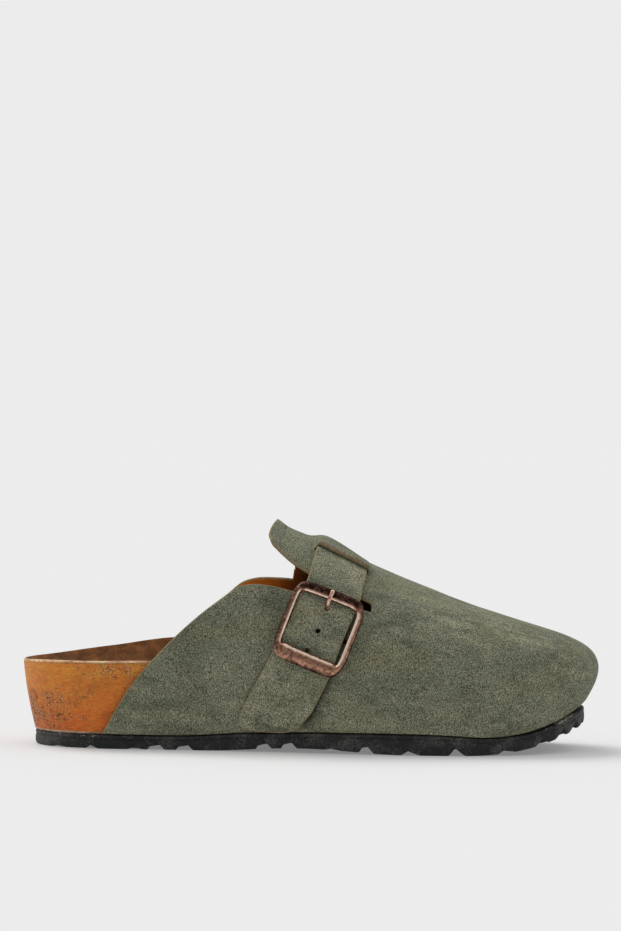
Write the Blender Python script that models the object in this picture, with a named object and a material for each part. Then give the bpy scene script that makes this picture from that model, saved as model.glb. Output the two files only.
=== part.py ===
"""Cork sole slipper for the right foot: outsole, cork footbed, suede lining, upper, strap and buckle.

The shoe is worked out from one last. The last is a set of ribs: each rib starts at the feather line,
where the cork meets the outsole, and rises to the ridge along the top of the foot. The cork's side lies
on the last, and the upper is a wall of even thickness around it.

Sizes are in millimetres. X runs from the heel rim (0) to the toe, -Y is the outer side of the foot,
and Z is the height above the floor. The finished shoe is moved so that its box stands on the origin.
"""

import functools
import math

import bmesh
import bpy
import numpy as np

MM = 0.001

# Driving dimensions
FEATHER_HEEL_X = 6.3  # rear end of the feather line, under the heel rim
FEATHER_TOE_X = 262.0  # front end of the feather line
HALF_BALL_WIDTH = 46.5  # at the feather line
INSTEP_HEIGHT = 97.0  # ridge of the last just behind the strap
HEEL_RIM_HEIGHT = 40.0  # top of the cork at the back
SOLE_THICKNESS = 6.5  # outsole with its lugs, at the waist
TOE_SPRING = 13.8  # rise of the outsole's underside at the toe
SPRING_START_X = 205.0
SPRING_POWER = 2.45
ARCH_RISE = 2.0  # rise of the underside between heel and ball
ARCH_REAR_X, ARCH_FRONT_X = 84.0, 182.0
UPPER_WALL = 2.0
LINING_WALL = 1.0
GAP = 0.35  # clearance between pieces that meet
UPPER_GAP = 0.6  # the same on the last, where the facets of the cork and of the upper differ

# Round ends of the feather line: where each cap starts, and how square it is
HEEL_CAP_X, HEEL_CAP_POWER = 40.0, 2.15
TOE_CAP_X, TOE_CAP_POWER = 202.0, 2.3
# Ribs of the heel and the toe fan out from the two ends of the ridge
HEEL_POLE_X, TOE_POLE_X = 42.0, 215.0


def table(columns, *rows):
    """A short table as a dict of named columns."""
    return {name: np.array(values, float) for name, values in zip(columns.split(), zip(*rows))}


# How far the outsole's top edge rises above that thickness along the shoe
SOLE_RISE = table(
    "x rise",
    (6.3, 0.4),
    (40.0, 0.0),
    (78.0, 0.0),
    (100.0, 1.0),
    (125.0, 0.6),
    (150.0, 1.4),
    (170.0, 2.7),
    (200.0, 2.4),
    (220.0, 1.0),
    (240.0, 0.2),
    (262.0, 0.0),
)

# Plan of the feather line: half width as a share of the ball's, and drift of the middle towards +Y
PLAN = table(
    "x half_width drift",
    (6.3, 0.630, 0.0),
    (40.0, 0.655, 0.0),
    (80.0, 0.690, -0.6),
    (115.0, 0.765, -1.8),
    (150.0, 0.885, -2.6),
    (180.0, 0.975, -2.2),
    (202.0, 1.000, -1.0),
    (225.0, 0.990, 1.2),
    (262.0, 0.930, 5.0),
)

# Sections of the last: ridge height as a share of the instep's, how far the ridge lies towards +Y,
# how full the side and the top are, and how far the side leans out
SECTIONS = table(
    "x ridge ridge_y side_full top_full lean",
    (6.3, 1.00, 0.0, 0.60, 1.10, 15.0),
    (50.0, 1.04, 1.0, 0.60, 1.00, 13.0),
    (100.0, 1.110, 4.0, 0.58, 0.80, 9.0),
    (116.3, 1.078, 4.9, 0.58, 0.77, 8.1),
    (121.0, 1.047, 5.1, 0.58, 0.76, 8.0),
    (125.6, 1.027, 5.2, 0.58, 0.76, 8.0),
    (130.0, 1.012, 5.3, 0.58, 0.76, 8.0),
    (137.0, 0.988, 5.5, 0.58, 0.76, 8.0),
    (168.0, 0.845, 5.5, 0.58, 0.78, 7.5),
    (191.0, 0.752, 5.0, 0.58, 0.82, 7.5),
    (215.0, 0.662, 4.0, 0.60, 0.92, 8.5),
    (262.0, 0.535, 3.0, 0.66, 1.12, 18.5),
)

# Footbed: rim height on the outer and the inner side as a share of the heel rim's, and height of the
# foot's seat along the middle
FOOTBED = table(
    "x outer_rim inner_rim seat",
    (0.0, 0.965, 0.965, 29.0),
    (14.0, 0.990, 0.990, 28.6),
    (40.0, 1.000, 1.088, 28.0),
    (70.0, 1.000, 1.200, 30.0),
    (100.0, 0.900, 1.200, 31.0),
    (135.0, 0.725, 0.950, 28.0),
    (170.0, 0.625, 0.700, 21.5),
    (205.0, 0.600, 0.625, 19.5),
    (218.0, 0.625, 0.650, 21.5),
    (240.0, 0.725, 0.725, 22.5),
    (262.0, 0.925, 0.925, 31.0),
)
CUP_POWER = 2.6  # how steeply the seat rises to its rim
CUP_SHARES = (1.0, 0.93, 0.82, 0.66, 0.42, 0.0)  # rings of the seat, from the rim in to the middle
CORK_SIDE_ROWS = 5

# Top edge of the side flaps, from the rear end of the upper forward to the end of the slit
FLAP_EDGE = table(
    "x outer inner",
    (40.5, 8.4, 8.4),
    (51.4, 27.2, 26.4),
    (67.1, 46.0, 44.6),
    (81.5, 59.8, 58.3),
    (96.6, 71.2, 70.0),
    (103.0, 75.4, 75.2),
    (108.5, 76.4, 77.0),
    (118.5, 75.4, 77.4),
    (126.6, 73.4, 76.8),
    (164.4, 63.6, 66.0),
)

# Lower edge of the instep tab, from its rounded end forward to the end of the slit
TAB_EDGE = table(
    "x outer inner",
    (115.8, 98.6, 101.0),
    (117.0, 95.6, 98.6),
    (119.5, 92.8, 95.0),
    (123.5, 89.3, 90.0),
    (128.4, 85.6, 84.0),
    (133.9, 82.3, 80.0),
    (150.0, 75.2, 72.0),
    (164.4, 67.6, 66.0),
)
TAB_REAR_X, TAB_FRONT_X = 115.8, 136.0
TAB_RAKE = 2.75  # the tab's end lies this much further forward at the ridge
RAKE_PACE = {"outer": 1.0, "inner": 1.8}  # the rake comes in sooner on the inner side
SLIT_END_X = {"outer": 161.8, "inner": 126.6}

# Slot that the strap comes out of: its two ends, the lip raised over the strap and its bulge on the ridge
SLOT_REAR = (136.2, 91.8)
SLOT_FRONT = (162.4, 79.6)
LIP_RISE, CROWN_RISE = 5.2, 5.9
LIP_STEEPNESS = 20.0
CROWN_SKEW = 0.65  # under 1, the bulge is highest towards the slot's rear end

# Strap, from its hidden end under the lip down the outer side: its two edges in the side view and how
# far its underside lies off the last
STRAP = table(
    "rear_x rear_height front_x front_height lift",
    (138.4, 92.0, 160.2, 81.3, 2.90),
    (138.0, 91.2, 160.0, 79.4, 3.00),
    (136.0, 83.3, 158.6, 73.4, 3.60),
    (134.7, 77.6, 157.8, 68.2, 4.60),
    (129.0, 63.2, 152.6, 53.4, 5.60),
    (118.8, 44.9, 145.2, 34.3, 4.00),
    (111.3, 31.0, 138.6, 21.9, 3.20),
    (102.0, 13.2, 129.3, 4.0, 3.00),
)
STRAP_WALL = 1.9
STRAP_ROWS = 20
# Lower end of the strap: how much is trimmed off its length, from the rear edge to the front edge
STRAP_END = table(
    "x trim",
    (0.00, 5.5),
    (0.06, 2.0),
    (0.20, 1.4),
    (0.40, 3.0),
    (0.60, 4.6),
    (0.78, 6.6),
    (0.92, 10.3),
    (1.00, 18.0),
)

# Buckle: middle and tilt in the side view, sizes along the middle of its bars
BUCKLE_X, BUCKLE_HEIGHT, BUCKLE_TILT = 140.2, 55.6, math.radians(21.4)
FRAME_HALF_WIDTH, FRAME_HALF_LENGTH = 15.7, 13.95
FRAME_SQUARE = 7.0  # how square the frame is: its sides bow out and its corners are round
FRAME_THICKNESS = 2.6
END_BAR_START, END_BAR_BLEND = 0.84, 0.16  # where along its half length the frame widens into its end bars
SIDE_BAR, TOP_BAR, LOW_BAR = 3.2, 5.6, 7.2
FRAME_LIFT, SIDE_BAR_LIFT = 9.4, 7.9
CENTRE_BAR_RADIUS, CENTRE_BAR_LIFT = 1.1, 4.0
FRAME_STEPS, BAR_SIDES = 44, 8
# Prong, from the centre bar through the strap and over the top bar: place along the buckle and lift
PRONG = table(
    "along lift",
    (1.7, 4.0),
    (5.5, 4.0),
    (8.5, 4.3),
    (9.2, 6.3),
    (9.7, 8.8),
    (10.8, 11.3),
    (13.2, 12.3),
    (15.1, 12.1),
)
PRONG_RADIUS = 0.95
PRONG_HOLE_ALONG, PRONG_HOLE_RADIUS = 9.3, 1.9

# Lugs: groove middle, depth
GROOVES = table(
    "x depth",
    (34.0, 1.6),
    (63.8, 4.4),
    (77.1, 4.4),
    (114.0, 4.6),
    (125.7, 4.6),
    (161.5, 4.0),
    (181.5, 2.0),
    (203.2, 3.0),
    (227.3, 2.8),
    (243.6, 3.2),
    (252.1, 3.2),
)
GROOVE_MOUTH, GROOVE_FLOOR = 5.0, 1.8
GROOVE_BOW, BOW_FADE = 7.0, 25.0  # grooves bow forward in the middle of the sole, less near its ends
LUG_STATIONS = (45.0, 52.0, 88.0, 100.0, 136.0, 148.0, 171.0, 194.0)  # on the lugs between the grooves
SOLE_EDGE_ROUND = 1.3
SOLE_PROUD_HEEL, SOLE_PROUD_UPPER, SOLE_PROUD_TOE = 0.5, 2.7, 4.2
SOLE_TOE_EXTRA = 1.4  # the outsole is this much thicker at the toe

# Rib stations along the sides, and how finely the ends fan out
SIDE_STATIONS = (
    40.5, 45.5, 51.4, 58.0, 66.0, 74.0, 82.0, 90.0, 97.0, 103.5, 110.0, 115.8, 119.0, 123.5,
    126.6, 131.0, 136.2, 137.6, 143.0, 149.5, 156.0, 160.8, 161.8, 162.4, 172.0, 182.0, 193.0, 204.0, 215.0,
)  # fmt: skip
HEEL_FAN, TOE_FAN = 5, 8
LOW_ROWS, MIDDLE_ROWS, TOP_ROWS = 7, 2, 3

SIDES = {"outer": -1.0, "inner": 1.0}


def read(rows, column, x):
    """Smooth curve through a table's rows, with each row's slope taken from its neighbours."""
    xs, ys = rows["x"], rows[column]
    slopes = np.gradient(ys, xs)
    i = int(np.clip(np.searchsorted(xs, x) - 1, 0, len(xs) - 2))
    span = xs[i + 1] - xs[i]
    u = min(max((x - xs[i]) / span, 0.0), 1.0)
    start = (1 + 2 * u) * (1 - u) ** 2 * ys[i] + u * (1 - u) ** 2 * span * slopes[i]
    return start + u * u * (3 - 2 * u) * ys[i + 1] - u * u * (1 - u) * span * slopes[i + 1]


def ease(share):
    """Smooth step from 0 to 1."""
    return share * share * (3 - 2 * share)


def toe_share(x):
    """0 up to the ball, 1 at the front end of the feather line."""
    return max(0.0, (x - SPRING_START_X) / (FEATHER_TOE_X - SPRING_START_X))


def sole_lift(x):
    """How much the sole is lifted: it curls up at the toe and arches a little at the waist."""
    arch = min(max((x - ARCH_REAR_X) / (ARCH_FRONT_X - ARCH_REAR_X), 0.0), 1.0)
    return TOE_SPRING * toe_share(x) ** SPRING_POWER + ARCH_RISE * math.sin(math.pi * arch) ** 2


def sole_top(x):
    """Height of the outsole's top, which the cork and the upper stand on."""
    return sole_lift(x) + SOLE_THICKNESS + read(SOLE_RISE, "rise", x)


def feather_height(x):
    return sole_top(x) + GAP


def half_width(x, grow=0.0):
    """Half width of the feather line, or of a line that far outside it, with its two round caps."""
    wide = HALF_BALL_WIDTH * read(PLAN, "half_width", x) + grow
    heel = (HEEL_CAP_X - x) / (HEEL_CAP_X - FEATHER_HEEL_X + grow)
    toe = (x - TOE_CAP_X) / (FEATHER_TOE_X + grow - TOE_CAP_X)
    share, power = (heel, HEEL_CAP_POWER) if heel > toe else (toe, TOE_CAP_POWER)
    return wide * (1 - min(max(share, 0.0), 1.0) ** power) ** (1 / power)


@functools.cache
def rib(x, side):
    """The four control points of the rib that starts at this station of the feather line."""
    foot = np.array([x, read(PLAN, "drift", x) + side * half_width(x), feather_height(x)])
    pole_x = min(max(x, HEEL_POLE_X), TOE_POLE_X)
    ridge = INSTEP_HEIGHT * read(SECTIONS, "ridge", pole_x)
    top = np.array([pole_x, read(SECTIONS, "ridge_y", pole_x), ridge])
    reach = np.hypot(*(foot - top)[:2])
    out = np.append((foot - top)[:2] / reach, 0.0)
    up = np.array([0.0, 0.0, 1.0])
    slope = INSTEP_HEIGHT * read(SECTIONS, "ridge", pole_x + 1.0) - ridge if x > TOE_POLE_X else 0.0
    side_height = read(SECTIONS, "side_full", x) * (ridge - foot[2])
    side_handle = foot + out * read(SECTIONS, "lean", x) + up * side_height
    top_handle = top + (out + up * slope * out[0]) * read(SECTIONS, "top_full", x) * reach
    return foot, side_handle, top_handle, top


def on_rib(points, t):
    """Point of a rib: t is 0 at the feather line and 1 at the ridge."""
    a, b, c, d = points
    return a * (1 - t) ** 3 + 3 * b * t * (1 - t) ** 2 + 3 * c * t * t * (1 - t) + d * t**3


def at_height(points, height):
    """Where a rib reaches this height, as its t."""
    steps = np.linspace(0.0, 1.0, 81)
    heights = on_rib([p[2] for p in points], steps)
    return float(np.interp(height, np.maximum.accumulate(heights), steps))


def fan(start, end, count):
    """Stations from start to end, closing up towards the end, as round a cap."""
    return [start + (end - start) * math.sin(math.pi / 2 * k / count) for k in range(1, count + 1)]


HEEL_STATIONS = fan(SIDE_STATIONS[0], FEATHER_HEEL_X, HEEL_FAN)[::-1]
TOE_STATIONS = fan(TOE_POLE_X, FEATHER_TOE_X, TOE_FAN)


def vertex_normals(points, faces):
    normals = np.zeros_like(points)
    for face in faces:
        corners = points[list(face)]
        turn = np.cross(corners[2] - corners[0], corners[-1] - corners[1])
        normals[list(face)] += turn
    return normals / np.linalg.norm(normals, axis=1)[:, None]


def shell(points, faces, normals, low, high):
    """A closed wall between two offsets of an open sheet."""
    count = len(points)
    edges = {pair for face in faces for pair in zip(face, face[1:] + face[:1])}
    inner = [tuple(v + count for v in reversed(face)) for face in faces]
    rim = [(b, a, a + count, b + count) for a, b in sorted(edges) if (b, a) not in edges]
    outer_points = points + normals * np.broadcast_to(high, count)[:, None]
    inner_points = points + normals * np.broadcast_to(low, count)[:, None]
    return np.vstack([outer_points, inner_points]), faces + inner + rim


FINISHES = {
    "outsole": {"Base Color": (0.018, 0.019, 0.020, 1.0), "Roughness": 0.65},
    "cork": {"Base Color": (0.42, 0.19, 0.065, 1.0), "Roughness": 0.75},
    "lining": {"Base Color": (0.16, 0.075, 0.03, 1.0), "Roughness": 0.9},
    "upper": {"Base Color": (0.105, 0.115, 0.085, 1.0), "Roughness": 0.9},
    "copper": {"Base Color": (0.32, 0.15, 0.10, 1.0), "Roughness": 0.35, "Metallic": 1.0},
}


def material(name):
    known = bpy.data.materials.get(name)
    if known:
        return known
    made = bpy.data.materials.new(name)
    made.use_nodes = True
    shader = made.node_tree.nodes["Principled BSDF"]
    for socket, value in FINISHES[name].items():
        shader.inputs[socket].default_value = value
    return made


def solid(name, points, faces, finish_name):
    """A named object from points in millimetres, with its doubled points merged and its faces turned out."""
    mesh = bpy.data.meshes.new(name)
    mesh.from_pydata([tuple(p * MM) for p in np.asarray(points, float)], [], faces)
    work = bmesh.new()
    work.from_mesh(mesh)
    bmesh.ops.remove_doubles(work, verts=work.verts, dist=1e-6)
    bmesh.ops.recalc_face_normals(work, faces=work.faces)
    work.to_mesh(mesh)
    work.free()
    mesh.shade_smooth()
    mesh.set_sharp_from_angle(angle=math.radians(40))
    mesh.materials.append(material(finish_name))
    made = bpy.data.objects.new(name, mesh)
    bpy.context.scene.collection.objects.link(made)
    return made


def slot_height(x):
    """Height of the slot's line in the side view."""
    share = (x - SLOT_REAR[0]) / (SLOT_FRONT[0] - SLOT_REAR[0])
    return SLOT_REAR[1] + share * (SLOT_FRONT[1] - SLOT_REAR[1])


@functools.cache
def row_levels(x, side_name):
    """The t of the flap's edge, the tab's edge and the slot's line on the rib at this station."""
    points = rib(x, SIDES[side_name])
    end = SLIT_END_X[side_name]
    if x <= end:
        flap = at_height(points, read(FLAP_EDGE, side_name, x))
        tab = at_height(points, read(TAB_EDGE, side_name, x)) if x >= TAB_REAR_X else flap
    else:
        middle = 0.5 * (read(FLAP_EDGE, side_name, end) + read(TAB_EDGE, side_name, end))
        flap = tab = at_height(rib(end, SIDES[side_name]), middle)
    slot_x = min(max(x, SLOT_REAR[0]), SLOT_FRONT[0])
    slot_points = rib(slot_x, SIDES["outer"])
    slot = at_height(slot_points, slot_height(slot_x))
    away = min(abs(x - slot_x) / 25.0, 1.0)
    slot += away * (tab + 0.45 * (1 - tab) - slot)
    return flap, tab, max(slot, tab + 0.1 * (1 - tab))


def lip_rise(x, share):
    """Height of the raised lip over the strap: share is 0 at the slot, 1 on the ridge and 2 beyond it."""
    along = (x - SLOT_REAR[0]) / (SLOT_FRONT[0] - SLOT_REAR[0])
    if not 0.0 < along < 1.0:
        return 0.0
    edge = LIP_RISE * min(1.0, LIP_STEEPNESS * along * (1.0 - along))
    crown = CROWN_RISE * math.sin(math.pi * min((along + 0.08) / 1.03, 1.0) ** CROWN_SKEW)
    return (edge + ease(min(share, 1.0)) * (crown - edge)) * ease(1.0 - 0.5 * share)


def upper_sheet():
    """Points, faces, lip rises and feather points of the upper's sheet on the last."""
    stations = list(SIDE_STATIONS) + TOE_STATIONS
    keys, points, rises, feet = {}, [], [], []

    def vertex(key, point, rise, foot):
        if key not in keys:
            keys[key] = len(points)
            points.append(point)
            rises.append(rise)
            feet.append(foot)
        return keys[key]

    def corner(i, band, row, side_name):
        x = stations[i]
        flap, tab, slot = row_levels(x, side_name)
        starts, ends, rows = (0.0, tab, slot), (flap, slot, 1.0), (LOW_ROWS, MIDDLE_ROWS, TOP_ROWS)
        t = starts[band] + (ends[band] - starts[band]) * row / rows[band]
        rise = 0.0
        if band == 2:
            rise = lip_rise(x, row / rows[band] if side_name == "outer" else 2.0 - row / rows[band])
        key = [i, band, row, side_name]
        if band == 2 and row == rows[2]:
            key = [min(i, len(SIDE_STATIONS) - 1), "ridge"]
        elif band == 0 and row == rows[0] and x > SLIT_END_X[side_name]:
            key = [i, 1, 0, side_name]
        elif band == 2 and row == 0 and rise == 0.0:
            key = [i, 1, rows[1], side_name]
        if key[-1] != "ridge" and i == len(stations) - 1:
            key[-1] = "toe"
        point = on_rib(rib(x, SIDES[side_name]), t)
        if band > 0 and x < TAB_FRONT_X:
            back = (TAB_FRONT_X - x) / (TAB_FRONT_X - TAB_REAR_X)
            climb = min(RAKE_PACE[side_name] * (t - tab) / (1.0 - tab), 1.0)
            point[0] += TAB_RAKE * back * ease(climb)
        return vertex(tuple(key), point, rise, band == 0 and row == 0)

    faces = []
    for side_name, side in SIDES.items():
        for band, rows in enumerate((LOW_ROWS, MIDDLE_ROWS, TOP_ROWS)):
            for i in range(len(stations) - 1):
                if band > 0 and stations[i] < TAB_REAR_X:
                    continue
                for row in range(rows):
                    ring = [(i, row), (i + 1, row), (i + 1, row + 1), (i, row + 1)]
                    face = [corner(a, band, b, side_name) for a, b in ring]
                    face = [v for k, v in enumerate(face) if v not in face[:k]]
                    if len(face) > 2:
                        faces.append(tuple(face if side < 0 else face[::-1]))
    return np.array(points), faces, np.array(rises), np.array(feet)


def build_upper():
    points, faces, rises, feet = upper_sheet()
    normals = vertex_normals(points, faces)
    normals[feet, 2] = 0.0
    normals /= np.linalg.norm(normals, axis=1)[:, None]
    walls, wall_faces = shell(points, faces, normals, rises + UPPER_GAP, rises + UPPER_GAP + UPPER_WALL)
    for point, foot in zip(walls, np.tile(feet, 2)):
        floor = feather_height(point[0]) + UPPER_GAP - GAP
        point[2] = floor if foot else max(point[2], floor)
    return solid("upper", walls, wall_faces, "upper")


def ring_of_ribs():
    """(station, side name) once round the shoe: from the heel along the outer side to the toe and back."""
    along = HEEL_STATIONS + list(SIDE_STATIONS) + TOE_STATIONS
    return [(x, "outer") for x in along] + [(x, "inner") for x in along[-2:0:-1]]


def loft(rings, close_ends=True):
    """Faces between closed rings of as many points each, with the first and last ring filled."""
    count = len(rings[0])
    points = np.vstack(rings)
    faces = []
    for level in range(len(rings) - 1):
        for k in range(count):
            a, b = level * count + k, level * count + (k + 1) % count
            faces.append((a, b, b + count, a + count))
    if close_ends:
        faces.append(tuple(range(count))[::-1])
        faces.append(tuple(range(len(points) - count, len(points))))
    return points, faces


def rim_height(x, side_name):
    return HEEL_RIM_HEIGHT * read(FOOTBED, side_name + "_rim", x)


def footbed_rings():
    """Rings of the footbed's top, from the rim in to the middle line."""
    rings = []
    for share in CUP_SHARES:
        ring = []
        for x, side_name in ring_of_ribs():
            points = rib(x, SIDES[side_name])
            edge = on_rib(points, at_height(points, rim_height(x, side_name)))
            pole_x = min(max(x, HEEL_POLE_X), TOE_POLE_X)
            middle = np.array([pole_x, read(PLAN, "drift", pole_x), read(FOOTBED, "seat", pole_x)])
            point = middle + (edge - middle) * share
            seat = read(FOOTBED, "seat", point[0])
            point[2] = seat + (edge[2] - seat) * share**CUP_POWER
            ring.append(point)
        rings.append(np.array(ring))
    return rings


def build_cork():
    side_rings = []
    for row in range(CORK_SIDE_ROWS):
        ring = []
        for x, side_name in ring_of_ribs():
            points = rib(x, SIDES[side_name])
            top = at_height(points, rim_height(x, side_name))
            ring.append(on_rib(points, top * row / CORK_SIDE_ROWS))
        side_rings.append(np.array(ring))
    base = []
    for x, side_name in ring_of_ribs():
        pole_x = min(max(x, HEEL_POLE_X), TOE_POLE_X)
        base.append((pole_x, read(PLAN, "drift", pole_x), feather_height(pole_x)))
    half = 0.5 * (side_rings[0] + np.array(base))
    half[:, 2] = [feather_height(x) for x in half[:, 0]]
    rings = [np.array(base), half] + side_rings + footbed_rings()
    points, faces = loft(rings, close_ends=False)
    return solid("cork_footbed", points, faces, "cork")


def build_lining():
    points, faces = loft(footbed_rings(), close_ends=False)
    merged = bmesh.new()
    verts = [merged.verts.new(p) for p in points]
    for face in faces:
        merged.faces.new([verts[k] for k in face])
    bmesh.ops.remove_doubles(merged, verts=merged.verts, dist=1e-3)
    bmesh.ops.recalc_face_normals(merged, faces=merged.faces)
    merged.verts.index_update()
    points = np.array([v.co for v in merged.verts])
    faces = [tuple(v.index for v in f.verts) for f in merged.faces]
    merged.free()
    normals = vertex_normals(points, faces)
    if normals[:, 2].sum() < 0:
        faces, normals = [f[::-1] for f in faces], -normals
    walls, wall_faces = shell(points, faces, normals, GAP, GAP + LINING_WALL)
    return solid("footbed_lining", walls, wall_faces, "lining")


def sole_proud(x):
    """How far the outsole stands out past the feather line."""
    upper = min(max((x - SIDE_STATIONS[0]) / 12.0 + 1.0, 0.0), 1.0)
    proud = SOLE_PROUD_HEEL + upper * (SOLE_PROUD_UPPER - SOLE_PROUD_HEEL)
    return proud + toe_share(x) * (SOLE_PROUD_TOE - SOLE_PROUD_UPPER)


def groove_depth(x):
    """Depth of the tread at this station: a groove has a flat floor and sloping walls."""
    depth = 0.0
    for middle, deep in zip(GROOVES["x"], GROOVES["depth"]):
        slope = (0.5 * GROOVE_MOUTH - abs(x - middle)) / (0.5 * (GROOVE_MOUTH - GROOVE_FLOOR))
        depth = max(depth, deep * min(max(slope, 0.0), 1.0))
    return depth


ACROSS = (-1.0, -0.6, -0.2, 0.2, 0.6, 1.0)


def sole_loop(x):
    """Section of the outsole: its top, its sides and its underside with the tread."""
    proud = sole_proud(x)
    middle, wide = read(PLAN, "drift", x), half_width(x, proud)
    narrow = max(wide - SOLE_EDGE_ROUND, 0.3 * wide)
    lift = sole_lift(x)
    top = [(x, middle + wide * s, sole_top(x)) for s in ACROSS]
    ground = lift - SOLE_TOE_EXTRA * toe_share(x) ** SPRING_POWER
    edge = ground + 0.45 * SOLE_THICKNESS
    under = []
    for s in reversed(ACROSS):
        ahead = GROOVE_BOW * (1 - s * s) * bow_share(x)
        under.append((x + ahead, middle + narrow * s, ground + groove_depth(x)))
    return np.array(top + [(x, middle + wide, edge)] + under + [(x, middle - wide, edge)])


def bow_share(x):
    """The grooves' bow fades out towards both ends of the sole."""
    heel = (x - FEATHER_HEEL_X - 6.0) / BOW_FADE
    toe = (FEATHER_TOE_X - 4.0 - x) / BOW_FADE
    return min(max(min(heel, toe), 0.0), 1.0)


def build_outsole():
    rear, front = FEATHER_HEEL_X - SOLE_PROUD_HEEL, FEATHER_TOE_X + SOLE_PROUD_TOE
    stations = set(fan(HEEL_CAP_X, rear + 0.05, 7) + fan(TOE_CAP_X, front - 0.05, 12))
    stations |= set(LUG_STATIONS)
    for middle in GROOVES["x"]:
        stations |= {middle + s * w for s in (-0.5, 0.5) for w in (GROOVE_MOUTH, GROOVE_FLOOR)}
    stations = sorted(stations)
    kept = [stations[0]]
    for x in stations[1:]:
        if x - kept[-1] > 0.02:
            kept.append(x)
    points, faces = loft([sole_loop(x) for x in kept])
    return solid("outsole", points, faces, "outsole")


def outer_side(x, height, lift):
    """Point over the outer wall at this place of the side view, lifted off the last, and its normal."""

    def on_last(u, v):
        points = rib(round(float(u), 3), SIDES["outer"])
        return on_rib(points, at_height(points, v))

    along = on_last(x + 2.0, height) - on_last(x - 2.0, height)
    up = on_last(x, height + 2.0) - on_last(x, height - 2.0)
    normal = np.cross(along, up)
    normal /= np.linalg.norm(normal)
    return on_last(x, height) + lift * normal, normal


def strap_sheet():
    """Points and faces of the strap's underside, with its lower end trimmed to shape."""
    middle = 0.5 * np.array(
        [STRAP["rear_x"] + STRAP["front_x"], STRAP["rear_height"] + STRAP["front_height"]]
    )
    run = np.append(0.0, np.cumsum(np.hypot(*np.diff(middle, axis=1))))
    rows = {"x": run, **{name: STRAP[name] for name in STRAP}}
    points, normals = [], []
    for k in range(STRAP_ROWS + 1):
        for across, trim in zip(STRAP_END["x"], STRAP_END["trim"]):
            place = (run[-1] - trim) * k / STRAP_ROWS
            row = {name: read(rows, name, place) for name in STRAP}
            x = row["rear_x"] + across * (row["front_x"] - row["rear_x"])
            height = row["rear_height"] + across * (row["front_height"] - row["rear_height"])
            point, normal = outer_side(x, height, row["lift"])
            points.append(point)
            normals.append(normal)
    wide = len(STRAP_END["x"])
    faces = []
    for k in range(STRAP_ROWS):
        for m in range(wide - 1):
            a = k * wide + m
            faces.append((a, a + wide, a + wide + 1, a + 1))
    return np.array(points), faces, np.array(normals)


def build_strap():
    points, faces, normals = strap_sheet()
    walls, wall_faces = shell(points, faces, normals, 0.0, STRAP_WALL)
    strap = solid("strap", walls, wall_faces, "upper")
    rod = [on_buckle(0.0, PRONG_HOLE_ALONG, lift)[0] for lift in (2.0, 11.0)]
    radii = [PRONG_HOLE_RADIUS] * 2
    punch = sweep("prong_hole", rod, [np.array([1.0, 0.0, 0.0])] * 2, radii, radii, "upper")
    boolean(strap, punch, "DIFFERENCE")
    return strap


def on_buckle(across, along, lift):
    """Point and normal over the outer wall, measured from the buckle's middle along its own axes."""
    turn, rise = math.sin(BUCKLE_TILT), math.cos(BUCKLE_TILT)
    x = BUCKLE_X + across * rise + along * turn
    height = BUCKLE_HEIGHT - across * turn + along * rise
    return outer_side(x, height, lift)


def sweep(name, path, normals, wides, thicks, finish_name, closed=False):
    """A bar with an oval section along a path: thick along the normals, and wide across them."""
    path = np.array(path)
    rings = []
    for k, point in enumerate(path):
        before = path[k - 1] if k or closed else path[k]
        after = path[(k + 1) % len(path)] if closed or k + 1 < len(path) else path[k]
        along = (after - before) / np.linalg.norm(after - before)
        off = normals[k] - along * (normals[k] @ along)
        off /= np.linalg.norm(off)
        across = np.cross(along, off)
        ring = []
        for m in range(BAR_SIDES):
            angle = 2 * math.pi * (m + 0.5) / BAR_SIDES
            ring.append(point + across * wides[k] * math.cos(angle) + off * thicks[k] * math.sin(angle))
        rings.append(np.array(ring))
    if closed:
        points, faces = loft(rings + rings[:1], close_ends=False)
    else:
        points, faces = loft(rings)
    return solid(name, points, faces, finish_name)


def boolean(piece, tool, operation):
    """Leaves a Boolean on the piece and hides the tool."""
    step = piece.modifiers.new(tool.name, "BOOLEAN")
    step.operation = operation
    step.solver = "EXACT"
    step.object = tool
    tool.hide_render = True
    tool.display_type = "WIRE"


def frame_line():
    """Middle line of the frame's bars: an oblong with bowed sides, as (across, along) pairs."""
    line = []
    for k in range(FRAME_STEPS):
        turn, rise = math.cos(2 * math.pi * k / FRAME_STEPS), math.sin(2 * math.pi * k / FRAME_STEPS)
        wide, tall = abs(turn) / FRAME_HALF_WIDTH, abs(rise) / FRAME_HALF_LENGTH
        reach = (wide**FRAME_SQUARE + tall**FRAME_SQUARE) ** (-1 / FRAME_SQUARE)
        line.append((reach * turn, reach * rise))
    return line


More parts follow.
